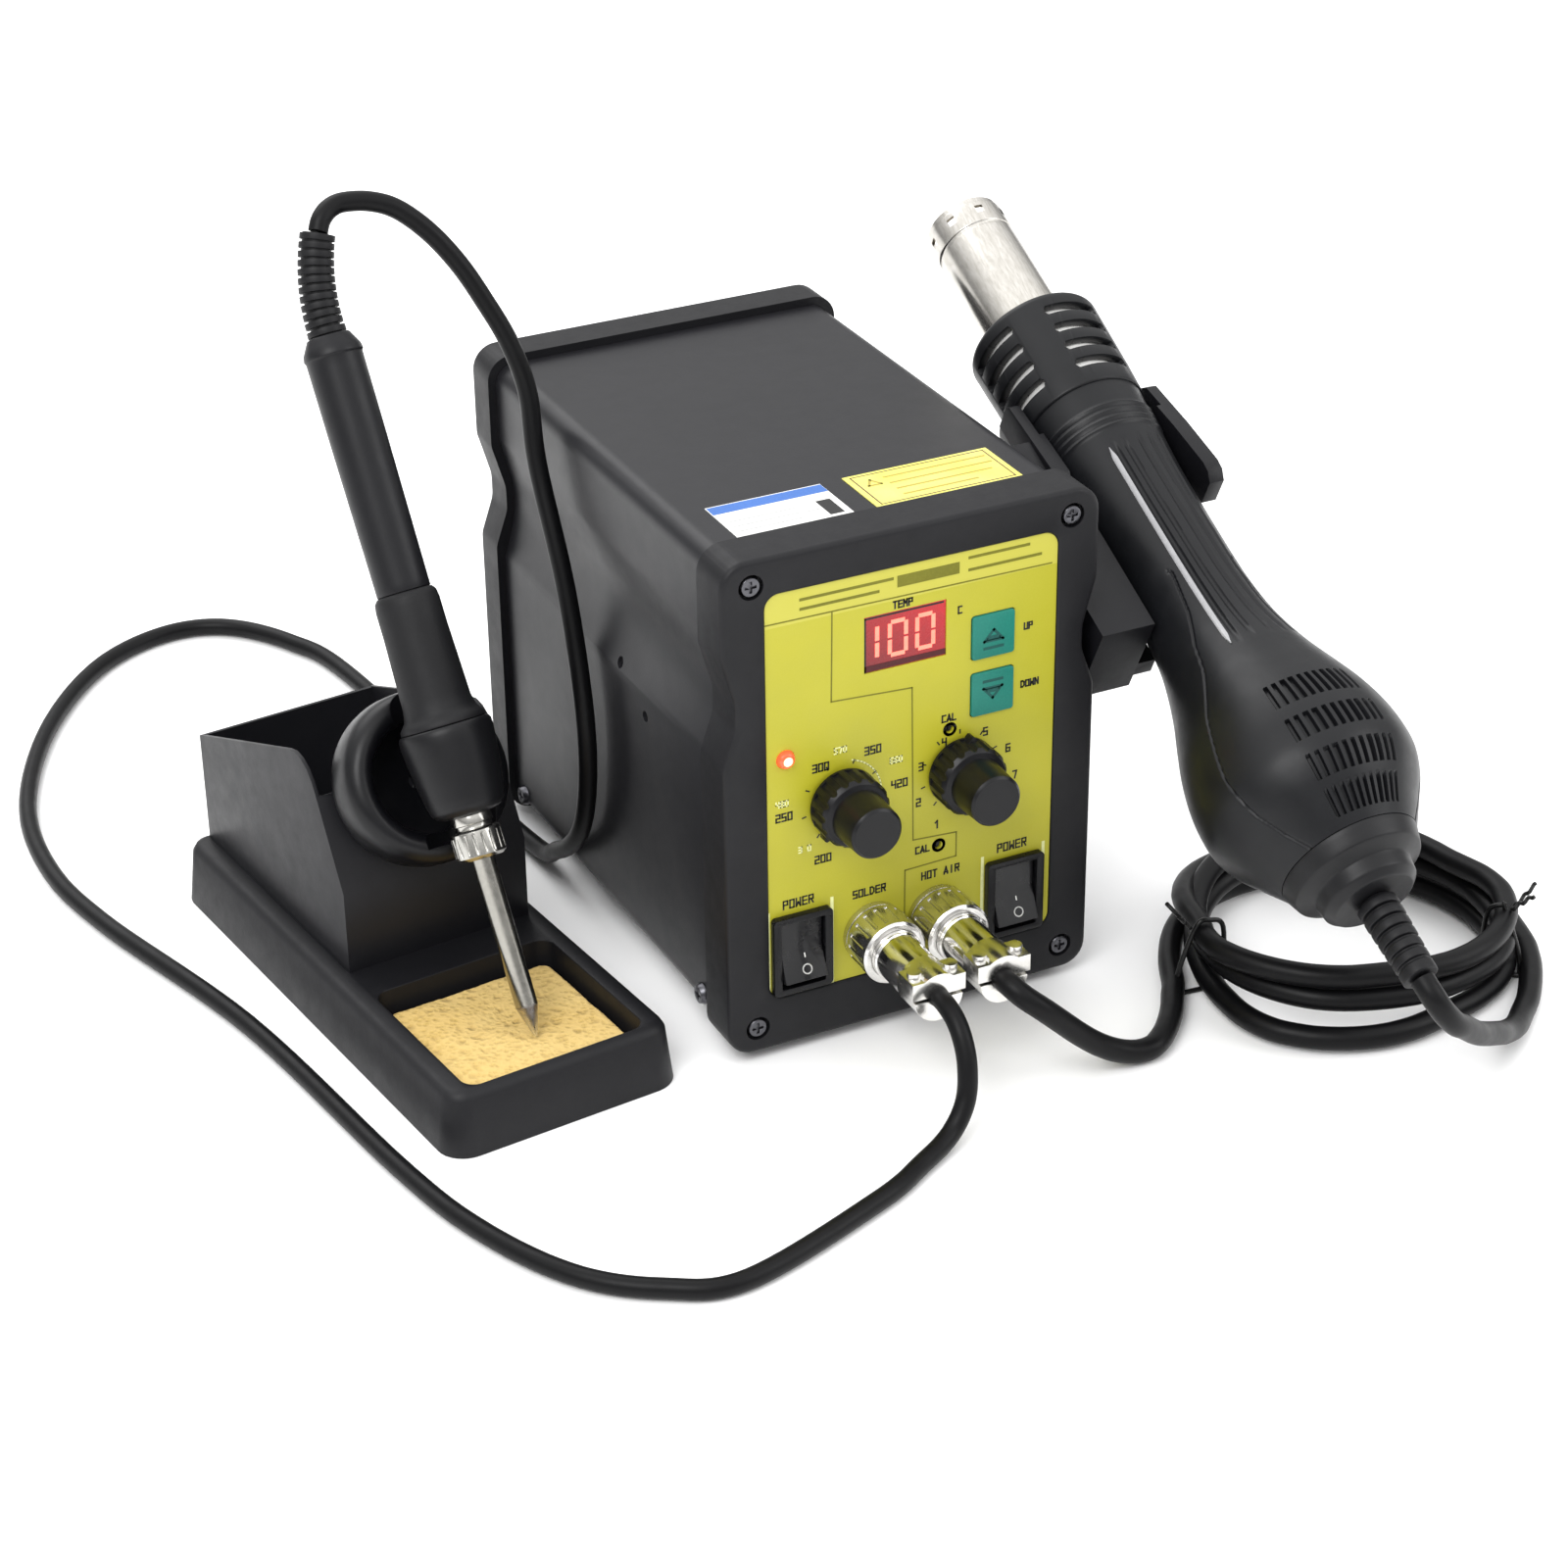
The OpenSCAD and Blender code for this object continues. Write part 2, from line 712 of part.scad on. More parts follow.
module fan_rotor() {
  color("#303034") on_gun() {
    rod(6.5, 192, 206);
    rod(1.5, 205, 216);
    for (k = [0:6])
      rotate([0, 0, 360 * k / 7]) translate([5.5, 0, 199]) rotate([38, 0, 0])
        brick(0, fan_r - 5.5, -0.8, 0.8, -6, 6);
  }
}

module fan_motor() {
  color("#7d8087") on_gun() difference() {
    union() {
      rod(12, 208, 227);
      for (k = [0:2])
        rotate([0, 0, 30 + 120 * k]) brick(8, 25.4, -2, 2, 211, 215);
    }
    rod(1.55, 207, 217);
  }
}

// Stand and iron

module in_stand() {
  placed() translate([stand_x, stand_y, 0]) rotate([0, 0, stand_yaw]) children();
}

module on_iron() {
  in_stand() translate([iron_u, tip_v, tip_z]) rotate([iron_slope - 90, 0, 0]) children();
}

module stand_base() {
  color("#28282c") in_stand() difference() {
    hull()
      for (u = [8, base_w - 8])
        for (v = [8, base_l - 8])
          translate([u, v, 0]) rotate_extrude() polygon([[0, 0], [8, 0], [6.2, base_h - 2.5],
            [5.2, base_h - 0.8], [3.6, base_h], [0, base_h]]);
    translate([base_w / 2, 31, 8]) linear_extrude(20) rounded(52, 52, 4);
    translate([base_w / 2, base_l / 2, -1]) linear_extrude(5.5) rounded(base_w - 10, base_l - 10, 4);
  }
}

module stand_box() {
  color("#2d2d32") in_stand() difference() {
    union() {
      for (u = [8, 61])
        translate([u, 0, 0]) rotate([90, 0, 90]) linear_extrude(1) polygon([[70, base_h], [70, 42],
          [82.2, 65.5], [84.2, 69], [86.8, 71.8], [90, 73.5], [93.5, 74], [97, 73.1],
          [157, 50.5], [157, base_h]]);
      translate([8, 0, 0]) rotate([90, 0, 90]) linear_extrude(54) polygon([[70, base_h], [70, 42],
        [82.2, 65.5], [83.1, 65], [71, 41.8], [71, base_h]]);
      brick(8, 62, 156, 157, base_h, 50.5);
      brick(8, 62, 70, 157, base_h, base_h + 1);
    }
    translate(cup_at) rotate([90 - cup_lean, 0, 0]) rod(2.1, -30, 0);
  }
}

module holder_cup() {
  color("#17171a") difference() {
    in_stand() translate(cup_at) rotate([90 - cup_lean, 0, 0]) difference() {
      rotate_extrude() polygon([[0, -16.2], [cup_r - 1.6, -16.2], [cup_r - 0.4, -14], [cup_r, -11],
        [cup_r, -5], [cup_r - 0.5, -2.8], [cup_r - 1.6, -1.1], [cup_r - 3, -0.2], [cup_r - 4.2, 0],
        [cup_hole_r + 2.2, -0.4], [cup_hole_r + 0.7, -1.8], [cup_hole_r, -4], [cup_hole_r, -12],
        [0, -12]]);
      rod(2, -30, 0);
    }
    on_iron() rod(13, 54, 200);
  }
}

module sponge() {
  color("#dcc060") in_stand() translate([base_w / 2, 31, 8]) difference() {
    linear_extrude(5) rounded(48, 46, 2.5);
    translate([0, -6, 3.6]) linear_extrude(3) circle(4);
  }
}

module iron_tip() {
  color("#9a9690") on_iron() rotate_extrude() polygon([[0, 0], [0.4, 0], [barrel_r - 0.4, 7.2],
    [barrel_r, 8.4], [barrel_r - 0.5, 8.4], [barrel_r - 0.5, 46], [0, 46]]);
}

module iron_barrel() {
  color("silver") on_iron() rotate_extrude() polygon([[barrel_r - 0.45, 8.4], [barrel_r, 8.4],
    [barrel_r, 50.1], [4.2, 50.1], [4.2, 52], [barrel_r - 0.45, 52]]);
}

module iron_nut() {
  color("silver") on_iron() difference() {
    rotate_extrude() polygon([[barrel_r + 0.05, 48.3], [5.6, 48.3], [6.65, 49.2], [6.65, 55.6],
      [6.1, 56.2], [4.9, 56.4], [4.9, 57.4], [5.4, 57.6], [5.4, 60], [4.25, 60], [4.25, 50.05],
      [barrel_r + 0.05, 50.05]]);
    for (k = [0:17])
      rotate([0, 0, 20 * k]) translate([6.95, 0, 49.8]) cylinder(r = 0.5, h = 5, $fn = 24);
  }
}

module iron_collar() {
  color("#202024") on_iron() rotate_extrude() polygon([[0, 52.1], [4.2, 52.1], [4.2, 60.05],
    [6.6, 60.05], [8.4, 60.6], [9.7, 62], [10.4, 64.6], [11.3, 70], [12, 76], [12.4, 80.5],
    [12.3, 82.6], [11.8, 83.6], [5.5, 83.6], [5.5, 96], [0, 96]]);
}

module iron_grip() {
  color("#26262a") on_iron() rotate_extrude() polygon([[5.5, 83.65], [11.4, 83.65], [11.2, 85],
    [9.6, 87], [9, 90], [8.8, 98], [8.5, 109], [8.5, 116], [8.2, 118.2], [7.3, 119.4], [5.5, 119.4]]);
}

module iron_handle() {
  color("#303034") on_iron() rotate_extrude() polygon([[0, 96.1], [5.5, 96.1], [5.5, 119.45],
    [7.1, 119.45], [7.2, 135], [7.4, 160], [7.5, 182], [7.9, 182.4], [7.6, 184], [5.6, 187.6],
    [0, 187.6]]);
}

module iron_relief() {
  color("#1c1c1e") on_iron() {
    rod(3.9, 187.6, 190);
    rod(5.1, 188, 189.5);
    rotate([0, 0, 60]) translate([0, -57.3, 190]) {
      rotate([0, 90, 0]) rotate([0, 0, 90]) rotate_extrude(angle = 24, $fn = 96)
        translate([57.3, 0]) circle(3.9, $fn = 32);
      for (k = [0:10])
        rotate([2.2 * k + 0.3, 0, 0]) translate([0, 57.3, 0]) cylinder(r = 5 - 0.04 * k, h = 1.5);
    }
  }
}

// Cords

module tube(route, r, steps) {
  p = smooth(route, steps);
  t = directions(p);
  m = len(p) - 1;
  sides = 10;
  ring = [for (i = 0, n = across([0, 0.3, 1], t[0]); i <= m;
    n = across(n, t[min(i + 1, m)]), i = i + 1)
    for (k = [0:sides - 1])
      p[i] + r * (cos(36 * k) * n + sin(36 * k) * cross(t[i], n))];
  wall = [for (i = [0:m - 1]) for (k = [0:sides - 1]) for (half = [0, 1])
    let (a = i * sides + k, b = i * sides + (k + 1) % sides)
    half == 0 ? [a, a + sides, b + sides] : [a, b + sides, b]];
  polyhedron(points = ring, faces = concat([[for (k = [0:sides - 1]) k]], wall,
    [[for (k = [sides - 1:-1:0]) m * sides + k]]), convexity = 8);
}

module iron_cord() {
  color("#1a1a1c") placed() tube(iron_route, iron_cord_d / 2, 2);
}

module air_lead() {
  color("#1a1a1c") placed() {
    tube(air_route_a, air_cord_d / 2, 2);
    tube(air_route_b, air_cord_d / 2, 2);
  }
}

module air_coil() {
  color("#1a1a1c") placed() translate([coil_at[0], coil_at[1], 0]) rotate_extrude()
    polygon([[coil_r - 9.8, 3], [coil_r - 7.6, 0.3], [coil_r + 7.6, 0.3], [coil_r + 9.8, 3],
      [coil_r + 9.8, 19], [coil_r + 7.6, 21.6], [coil_r - 7.6, 21.6], [coil_r - 9.8, 19]]);
}

case_shell();
base_plate();
front_bezel();
rear_bezel();
front_panel();
rear_panel();
case_screws();
rubber_feet();
top_labels();
display_window();
display_module();
control_board();
cal_trimmers();
transformer_core();
transformer_coil();
potentiometers();
temp_shaft();
air_shaft();
temp_knob();
air_knob();
up_button();
down_button();
iron_switch_frame();
iron_rocker();
air_switch_frame();
air_rocker();
status_led();
panel_sockets();
iron_plug_shell();
iron_plug_ring();
air_plug_shell();
air_plug_ring();
cable_clamps();
mains_inlet();
fuse_drawer();
gun_bracket();
bracket_screws();
nozzle_pipe();
gun_heater();
heat_guard();
gun_upper_shell();
gun_lower_shell();
gun_tail();
gun_relief();
fan_rotor();
fan_motor();
stand_base();
stand_box();
holder_cup();
sponge();
iron_tip();
iron_barrel();
iron_nut();
iron_collar();
iron_grip();
iron_handle();
iron_relief();
iron_cord();
air_lead();
air_coil();
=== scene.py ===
import json
import math

import bmesh
import bpy
from mathutils import Matrix, Vector, noise

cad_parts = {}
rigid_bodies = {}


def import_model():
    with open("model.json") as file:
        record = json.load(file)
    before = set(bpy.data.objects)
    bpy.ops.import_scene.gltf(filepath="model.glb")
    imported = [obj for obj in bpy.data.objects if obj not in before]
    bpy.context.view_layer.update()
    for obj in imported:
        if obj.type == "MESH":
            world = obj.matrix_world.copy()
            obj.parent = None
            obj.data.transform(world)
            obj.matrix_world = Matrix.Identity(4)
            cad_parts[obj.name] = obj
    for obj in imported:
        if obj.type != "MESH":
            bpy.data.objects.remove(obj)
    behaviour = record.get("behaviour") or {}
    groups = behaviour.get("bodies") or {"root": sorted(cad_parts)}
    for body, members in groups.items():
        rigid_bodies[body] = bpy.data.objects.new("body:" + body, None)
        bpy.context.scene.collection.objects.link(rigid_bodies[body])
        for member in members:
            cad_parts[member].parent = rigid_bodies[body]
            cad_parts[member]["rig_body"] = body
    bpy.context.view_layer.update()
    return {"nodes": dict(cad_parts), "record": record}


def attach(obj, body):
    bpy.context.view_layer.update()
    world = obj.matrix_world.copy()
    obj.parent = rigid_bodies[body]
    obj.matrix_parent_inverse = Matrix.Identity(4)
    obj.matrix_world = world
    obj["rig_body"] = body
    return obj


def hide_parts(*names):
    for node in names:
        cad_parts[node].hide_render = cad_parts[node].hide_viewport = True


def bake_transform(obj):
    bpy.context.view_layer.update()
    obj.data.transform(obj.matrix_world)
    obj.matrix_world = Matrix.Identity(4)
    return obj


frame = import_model()
NODES = frame["nodes"]

# ---- places, in millimetres from the middle of the panel's foot, turned into the row frame
SHIFT = (18.1, -28.7)


def at(x, y, z):
    """A point of the row frame, in metres."""
    return Vector(((x + SHIFT[0]) / 1000, (y + SHIFT[1]) / 1000, z / 1000))


def place(x, y, z, *turns):
    """A local frame in millimetres with its origin at (x, y, z), turned about its own axes in order."""
    m = Matrix.Translation(at(x, y, z))
    for axis, angle in turns:
        m = m @ Matrix.Rotation(math.radians(angle), 4, axis)
    return m @ Matrix.Scale(0.001, 4)


def facing(x, z):
    """A local frame on the panel: X right, Y up, Z out towards the user."""
    return place(x, 0, z, ("X", 90))


STAND = place(-134.5, -7.5, 0, ("Z", 6.5))
GUN = place(87, 134.2, 164.3, ("X", 116.4))

# ---- camera
camera = bpy.data.objects.new("camera", bpy.data.cameras.new("camera"))
camera.data.sensor_width = 36
camera.data.lens = 82.98
camera.location = at(-385.8, -716.1, 524.0)
camera.rotation_mode = "QUATERNION"
camera.rotation_quaternion = (0.83868, 0.49475, -0.1109, -0.19884)
camera.data.clip_start = 0.05
camera.data.clip_end = 20
bpy.context.scene.collection.objects.link(camera)
bpy.context.scene.camera = camera
bpy.context.scene.view_settings.view_transform = "Standard"

# ---- materials


class Nodes:
    """A new material and short names for the nodes that feed its shader."""

    def __init__(self, name):
        self.mat = bpy.data.materials.new(name)
        self.mat.use_nodes = True
        self.tree = self.mat.node_tree
        self.out = self.tree.nodes["Principled BSDF"]
        self.where = self.new("ShaderNodeTexCoord").outputs["Object"]

    def new(self, kind, **values):
        n = self.tree.nodes.new(kind)
        for k, v in values.items():
            setattr(n, k, v)
        return n

    def link(self, a, b):
        self.tree.links.new(a, b)

    def feed(self, socket, value):
        if hasattr(value, "is_output"):
            self.link(value, socket)
        else:
            socket.default_value = value

    def noise(self, scale, detail=3.0, rough=0.5, stretch=None, distortion=0.0):
        n = self.new("ShaderNodeTexNoise")
        n.inputs["Scale"].default_value = scale
        n.inputs["Detail"].default_value = detail
        n.inputs["Roughness"].default_value = rough
        n.inputs["Distortion"].default_value = distortion
        where = self.where
        if stretch:
            m = self.new("ShaderNodeMapping")
            m.inputs["Scale"].default_value = stretch
            self.link(where, m.inputs["Vector"])
            where = m.outputs["Vector"]
        self.link(where, n.inputs["Vector"])
        return n.outputs["Fac"]

    def span(self, value, low, high, to_low=0.0, to_high=1.0):
        n = self.new("ShaderNodeMapRange")
        n.inputs["From Min"].default_value = low
        n.inputs["From Max"].default_value = high
        n.inputs["To Min"].default_value = to_low
        n.inputs["To Max"].default_value = to_high
        self.link(value, n.inputs["Value"])
        return n.outputs["Result"]

    def calc(self, kind, a, b=0.0):
        n = self.new("ShaderNodeMath", operation=kind)
        self.feed(n.inputs[0], a)
        self.feed(n.inputs[1], b)
        return n.outputs[0]

    def mix(self, fac, a, b):
        n = self.new("ShaderNodeMix", data_type="RGBA")
        self.feed(n.inputs["Factor"], fac)
        self.feed(n.inputs[6], a if hasattr(a, "is_output") else (*a, 1))
        self.feed(n.inputs[7], b if hasattr(b, "is_output") else (*b, 1))
        return n.outputs[2]

    def bump(self, height, strength, distance):
        n = self.new("ShaderNodeBump")
        n.inputs["Strength"].default_value = strength
        n.inputs["Distance"].default_value = distance
        self.link(height, n.inputs["Height"])
        return n.outputs["Normal"]

    def axis(self, which):
        n = self.new("ShaderNodeSeparateXYZ")
        self.link(self.where, n.inputs[0])
        return n.outputs[which]

    def set(self, name, value):
        self.feed(self.out.inputs[name], value)


MATS = {}


def shade(color, amount):
    return tuple(max(0.0, min(1.0, c * amount)) for c in color)


def plastic(name, color, rough=0.5, grain=1400, depth=0.00004, strength=0.35, vary=0.1, metal=0.0,
            coat=0.0, stretch=None, smudge=0.06, specular=0.26):
    """Moulded plastic, rubber, paint or plain metal: uneven colour, mottled gloss and a fine grain."""
    m = Nodes(name)
    broad = m.noise(38, 4, 0.55, distortion=0.4)
    fine = m.noise(grain, 3, 0.6, stretch=stretch)
    color_out = m.mix(m.span(broad, 0.3, 0.7), shade(color, 1 - vary), shade(color, 1 + vary))
    color_out = m.mix(m.span(fine, 0.45, 0.75, 0, 0.35), color_out, shade(color, 1.35))
    m.set("Base Color", color_out)
    rub = m.noise(160, 5, 0.65)
    m.set("Roughness", m.span(rub, 0.25, 0.75, max(0.02, rough - smudge), min(1, rough + smudge)))
    m.set("Normal", m.bump(fine, strength, depth))
    m.out.inputs["Metallic"].default_value = metal
    m.out.inputs["Specular IOR Level"].default_value = specular
    if coat:
        m.out.inputs["Coat Weight"].default_value = coat
    MATS[name] = m.mat


plastic("case_paint", (0.012, 0.012, 0.014), 0.38, grain=1900, depth=0.00005, strength=0.4, smudge=0.03,
        vary=0.05)
plastic("zinc_sheet", (0.45, 0.46, 0.47), 0.35, metal=1.0, grain=300)
plastic("bezel_plastic", (0.006, 0.006, 0.0075), 0.5, grain=1700, strength=0.5)
plastic("rear_plate", (0.5, 0.5, 0.5), 0.38, metal=1.0, grain=700, stretch=(0.05, 1, 1))
plastic("plated_screw", (0.10, 0.10, 0.11), 0.3, metal=1.0, grain=2500)
plastic("foot_rubber", (0.01, 0.01, 0.01), 0.75)
plastic("board_green", (0.02, 0.14, 0.05), 0.3, grain=500)
# near-black, darker than a trimmer's own colour: painted shade in the holes it sits behind
plastic("trimmer_body", (0.02, 0.02, 0.02), 0.4)
plastic("core_steel", (0.1, 0.1, 0.11), 0.5, metal=0.6, grain=900, stretch=(1, 0.02, 0.02))
plastic("winding", (0.5, 0.2, 0.06), 0.35, metal=0.7, grain=1400, stretch=(0.05, 0.05, 1), strength=0.8)
plastic("pot_metal", (0.5, 0.5, 0.52), 0.35, metal=1.0)
plastic("shaft_metal", (0.6, 0.6, 0.61), 0.25, metal=1.0)
plastic("knob_plastic", (0.004, 0.004, 0.005), 0.34, grain=1800)
plastic("button_green", (0.014, 0.175, 0.135), 0.42, grain=1500, vary=0.12)
plastic("switch_black", (0.004, 0.004, 0.005), 0.3)
plastic("rocker_black", (0.007, 0.007, 0.008), 0.3, coat=0.2)
plastic("socket_metal", (0.62, 0.61, 0.58), 0.25, metal=1.0)
plastic("plug_metal", (0.72, 0.71, 0.69), 0.14, metal=1.0, grain=900, strength=0.15, smudge=0.05)
plastic("ring_metal", (0.66, 0.65, 0.63), 0.2, metal=1.0, grain=1200, smudge=0.06)
plastic("clamp_metal", (0.70, 0.69, 0.66), 0.22, metal=1.0, grain=900, smudge=0.08)
plastic("inlet_plastic", (0.006, 0.006, 0.007), 0.45)
plastic("bracket_plastic", (0.005, 0.005, 0.0065), 0.44, grain=1500, strength=0.5)
plastic("heater_ceramic", (0.68, 0.62, 0.52), 0.8, grain=700)
plastic("gun_plastic", (0.0055, 0.0058, 0.007), 0.38, grain=2200, strength=0.3, smudge=0.07)
# light grey, glossy rib on the black gun: its pale colour is a painted highlight
plastic("ridge_gloss_painted_highlight", (0.30, 0.30, 0.31), 0.2, grain=900, strength=0.1, coat=0.4)
plastic("tail_plastic", (0.006, 0.006, 0.007), 0.42)
plastic("relief_rubber", (0.004, 0.004, 0.005), 0.5)
plastic("fan_plastic", (0.012, 0.012, 0.014), 0.5)
plastic("motor_steel", (0.4, 0.4, 0.42), 0.3, metal=1.0)
plastic("base_plastic", (0.006, 0.006, 0.0075), 0.5, grain=1300, strength=0.55)
plastic("box_paint", (0.009, 0.009, 0.011), 0.45, grain=1500, strength=0.45)
plastic("cup_plastic", (0.003, 0.003, 0.004), 0.36, smudge=0.06)
plastic("barrel_steel", (0.34, 0.33, 0.30), 0.22, metal=1.0, grain=900)
plastic("nut_chrome", (0.45, 0.44, 0.41), 0.2, metal=1.0, smudge=0.05)
plastic("collar_plastic", (0.0045, 0.0045, 0.0055), 0.4)
plastic("grip_rubber", (0.0055, 0.0055, 0.0065), 0.55, grain=1100, strength=0.6)
plastic("handle_plastic", (0.0055, 0.0055, 0.007), 0.42)
plastic("cord_rubber", (0.003, 0.003, 0.0035), 0.42, grain=900, strength=0.4, specular=0.16)
plastic("print_black", (0.02, 0.02, 0.02), 0.5)
plastic("print_line", (0.15, 0.145, 0.012), 0.5)
plastic("print_pale", (0.72, 0.74, 0.35), 0.45)
plastic("print_white", (0.75, 0.75, 0.72), 0.4)
plastic("print_red", (0.10, 0.05, 0.04), 0.4)
plastic("print_teal", (0.008, 0.075, 0.065), 0.4)
plastic("print_blue", (0.05, 0.14, 0.42), 0.4)
plastic("print_grey", (0.42, 0.42, 0.42), 0.45)
plastic("print_brown", (0.38, 0.30, 0.06), 0.45)
# dark red for the painted shade along the display's foot
plastic("print_dusk", (0.06, 0.006, 0.008), 0.3)


# in metres: the foot of the panel's title strip, where the two labels meet, and the display's glowing part
TITLE_FOOT, LABEL_EDGE = 0.1253, 0.0138
WINDOW_X, WINDOW_Z = (0.004, 0.0275), (0.107, 0.122)


def panel_material():
    """Yellow-green print with a paler title strip across its top."""
    m = Nodes("panel_print")
    broad = m.noise(30, 3, 0.5)
    base = m.mix(m.span(broad, 0.3, 0.7), (0.375, 0.355, 0.012), (0.43, 0.40, 0.018))
    strip = m.calc("GREATER_THAN", m.axis(2), TITLE_FOOT)
    base = m.mix(strip, base, (0.47, 0.44, 0.05))
    fine = m.noise(2200, 2, 0.5)
    m.set("Base Color", m.mix(m.span(fine, 0.4, 0.8, 0, 0.15), base, (0.47, 0.44, 0.05)))
    m.set("Roughness", m.span(m.noise(120, 4), 0.2, 0.8, 0.36, 0.52))
    m.set("Normal", m.bump(fine, 0.15, 0.00003))
    MATS["panel_print"] = m.mat


def pipe_material():
    """Drawn steel: streaks along the pipe, a little warmer away from the nozzle's end."""
    m = Nodes("pipe_steel")
    streak = m.noise(260, 4, 0.6, stretch=(6, 1, 1))
    tip = m.span(m.axis(1), 0.059, 0.104)
    warm = m.mix(tip, (0.60, 0.58, 0.54), (0.62, 0.60, 0.57))
    m.set("Base Color", m.mix(m.span(streak, 0.3, 0.7), warm, (0.46, 0.44, 0.40)))
    m.set("Roughness", m.span(m.noise(90, 5), 0.2, 0.8, 0.16, 0.28))
    m.set("Normal", m.bump(streak, 0.2, 0.00003))
    m.out.inputs["Metallic"].default_value = 1.0
    MATS["pipe_steel"] = m.mat


def tip_material():
    """Plating that is worn and spotted near the iron's point."""
    m = Nodes("tip_plating")
    worn = m.span(m.axis(2), 0.0135, 0.021)
    spots = m.noise(700, 4, 0.6)
    plate = m.mix(m.span(spots, 0.35, 0.65), (0.42, 0.40, 0.38), (0.26, 0.23, 0.21))
    m.set("Base Color", m.mix(worn, (0.7, 0.7, 0.7), plate))
    m.set("Roughness", m.span(spots, 0.3, 0.7, 0.2, 0.45))
    m.set("Normal", m.bump(spots, 0.25, 0.00005))
    m.out.inputs["Metallic"].default_value = 1.0
    MATS["tip_plating"] = m.mat


def sponge_material():
    """Small pores and a few large holes in damp cellulose, with painted shade darkening each of them."""
    m = Nodes("sponge_cell")
    cells = m.new("ShaderNodeTexVoronoi", feature="F1")
    cells.inputs["Scale"].default_value = 620
    m.link(m.where, cells.inputs["Vector"])
    large = m.new("ShaderNodeTexVoronoi", feature="F1")
    large.inputs["Scale"].default_value = 240
    m.link(m.where, large.inputs["Vector"])
    pore = m.span(cells.outputs["Distance"], 0.1, 0.55)
    hole = m.span(large.outputs["Distance"], 0.05, 0.35)
    # pores darker in their middles: painted shade in them
    base = m.mix(pore, (0.56, 0.38, 0.11), (0.66, 0.46, 0.16))
    base = m.mix(m.calc("MULTIPLY", m.span(m.noise(60, 4), 0.35, 0.7), 0.5), base, (0.72, 0.54, 0.22))
    # large holes darker still: painted shade
    base = m.mix(m.calc("SUBTRACT", 0.4, m.calc("MULTIPLY", hole, 0.4)), base, (0.46, 0.29, 0.08))
    m.set("Base Color", base)
    m.out.inputs["Roughness"].default_value = 0.92
    both = m.calc("ADD", m.calc("MULTIPLY", pore, 0.5), hole)
    m.set("Normal", m.bump(both, 0.9, 0.0006))
    MATS["sponge_cell"] = m.mat


def label_material():
    """Paper: white for the left label, yellow for the right one."""
    m = Nodes("label_paper")
    fibre = m.noise(1500, 3, 0.6)
    side = m.calc("GREATER_THAN", m.axis(0), LABEL_EDGE)
    base = m.mix(side, (0.78, 0.78, 0.76), (0.72, 0.66, 0.10))
    base = m.mix(m.span(m.noise(70, 4), 0.3, 0.7, 0, 0.2), base, (0.6, 0.58, 0.5))
    m.set("Base Color", base)
    m.set("Roughness", m.span(fibre, 0.3, 0.7, 0.3, 0.45))
    m.set("Normal", m.bump(fibre, 0.15, 0.00002))
    MATS["label_paper"] = m.mat


def glow(name, color, strength, base):
    """A surface that gives its own light."""
    m = Nodes(name)
    soft = m.noise(400, 3, 0.5)
    m.set("Base Color", m.mix(m.span(soft, 0.3, 0.7), shade(base, 0.85), shade(base, 1.15)))
    m.set("Roughness", m.span(soft, 0.2, 0.8, 0.2, 0.35))
    m.set("Emission Color", m.mix(m.span(soft, 0.2, 0.8), shade(color, 0.85), color))
    m.out.inputs["Emission Strength"].default_value = strength
    MATS[name] = m.mat
    return m


def window_material():
    """Red glass in front of the figures with a painted glow, brighter to the right and to the top."""
    m = glow("display_glass", (0.75, 0.004, 0.012), 0.4, (0.10, 0.004, 0.006))
    upward, rightward = m.span(m.axis(2), *WINDOW_Z, 0.05, 0.4), m.span(m.axis(0), *WINDOW_X, 0.05, 0.4)
    m.set("Emission Strength", m.calc("ADD", upward, rightward))
    m.out.inputs["Roughness"].default_value = 0.15


panel_material()
pipe_material()
tip_material()
sponge_material()
label_material()
window_material()
glow("display_red", (1.0, 0.20, 0.14), 1.7, (0.8, 0.1, 0.06))
glow("led_red", (1.0, 0.10, 0.03), 0.8, (0.8, 0.08, 0.03))
glow("led_core", (1.0, 0.7, 0.4), 1.2, (1.0, 0.7, 0.4))

# ---- mesh tools


def finish_mesh(obj, mat, body, nodes=(), smooth=35):
    """Gives a mesh its material and shading, says which body it rides, and hides the nodes it stands for."""
    obj.data.materials.clear()
    obj.data.materials.append(MATS[mat])
    bm = bmesh.new()
    bm.from_mesh(obj.data)
    bmesh.ops.recalc_face_normals(bm, faces=bm.faces)
    limit = math.radians(smooth)
    for f in bm.faces:
        f.smooth = True
    for e in bm.edges:
        e.smooth = len(e.link_faces) != 2 or e.calc_face_angle(4) < limit
    bm.to_mesh(obj.data)
    bm.free()
    if body:
        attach(obj, body)
    if nodes:
        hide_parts(*nodes)
    return obj


def build(name, verts, faces, matrix, mat, body, nodes=(), slot=None, smooth=35):
    """A new piece from points of the matrix's own frame."""
    data = bpy.data.meshes.new(name)
    data.from_pydata([matrix @ Vector(v) for v in verts], [], faces)
    obj = bpy.data.objects.new(name, data)
    bpy.context.scene.collection.objects.link(obj)
    return finish_mesh(obj, mat, body, nodes, smooth)


def modify(obj, kind, **settings):
    """Applies one modifier to the mesh."""
    mod = obj.modifiers.new(kind, kind)
    for k, v in settings.items():
        setattr(mod, k, v)
    bpy.context.view_layer.update()
    dg = bpy.context.evaluated_depsgraph_get()
    made = bpy.data.meshes.new_from_object(obj.evaluated_get(dg))
    obj.modifiers.clear()
    obj.data = made


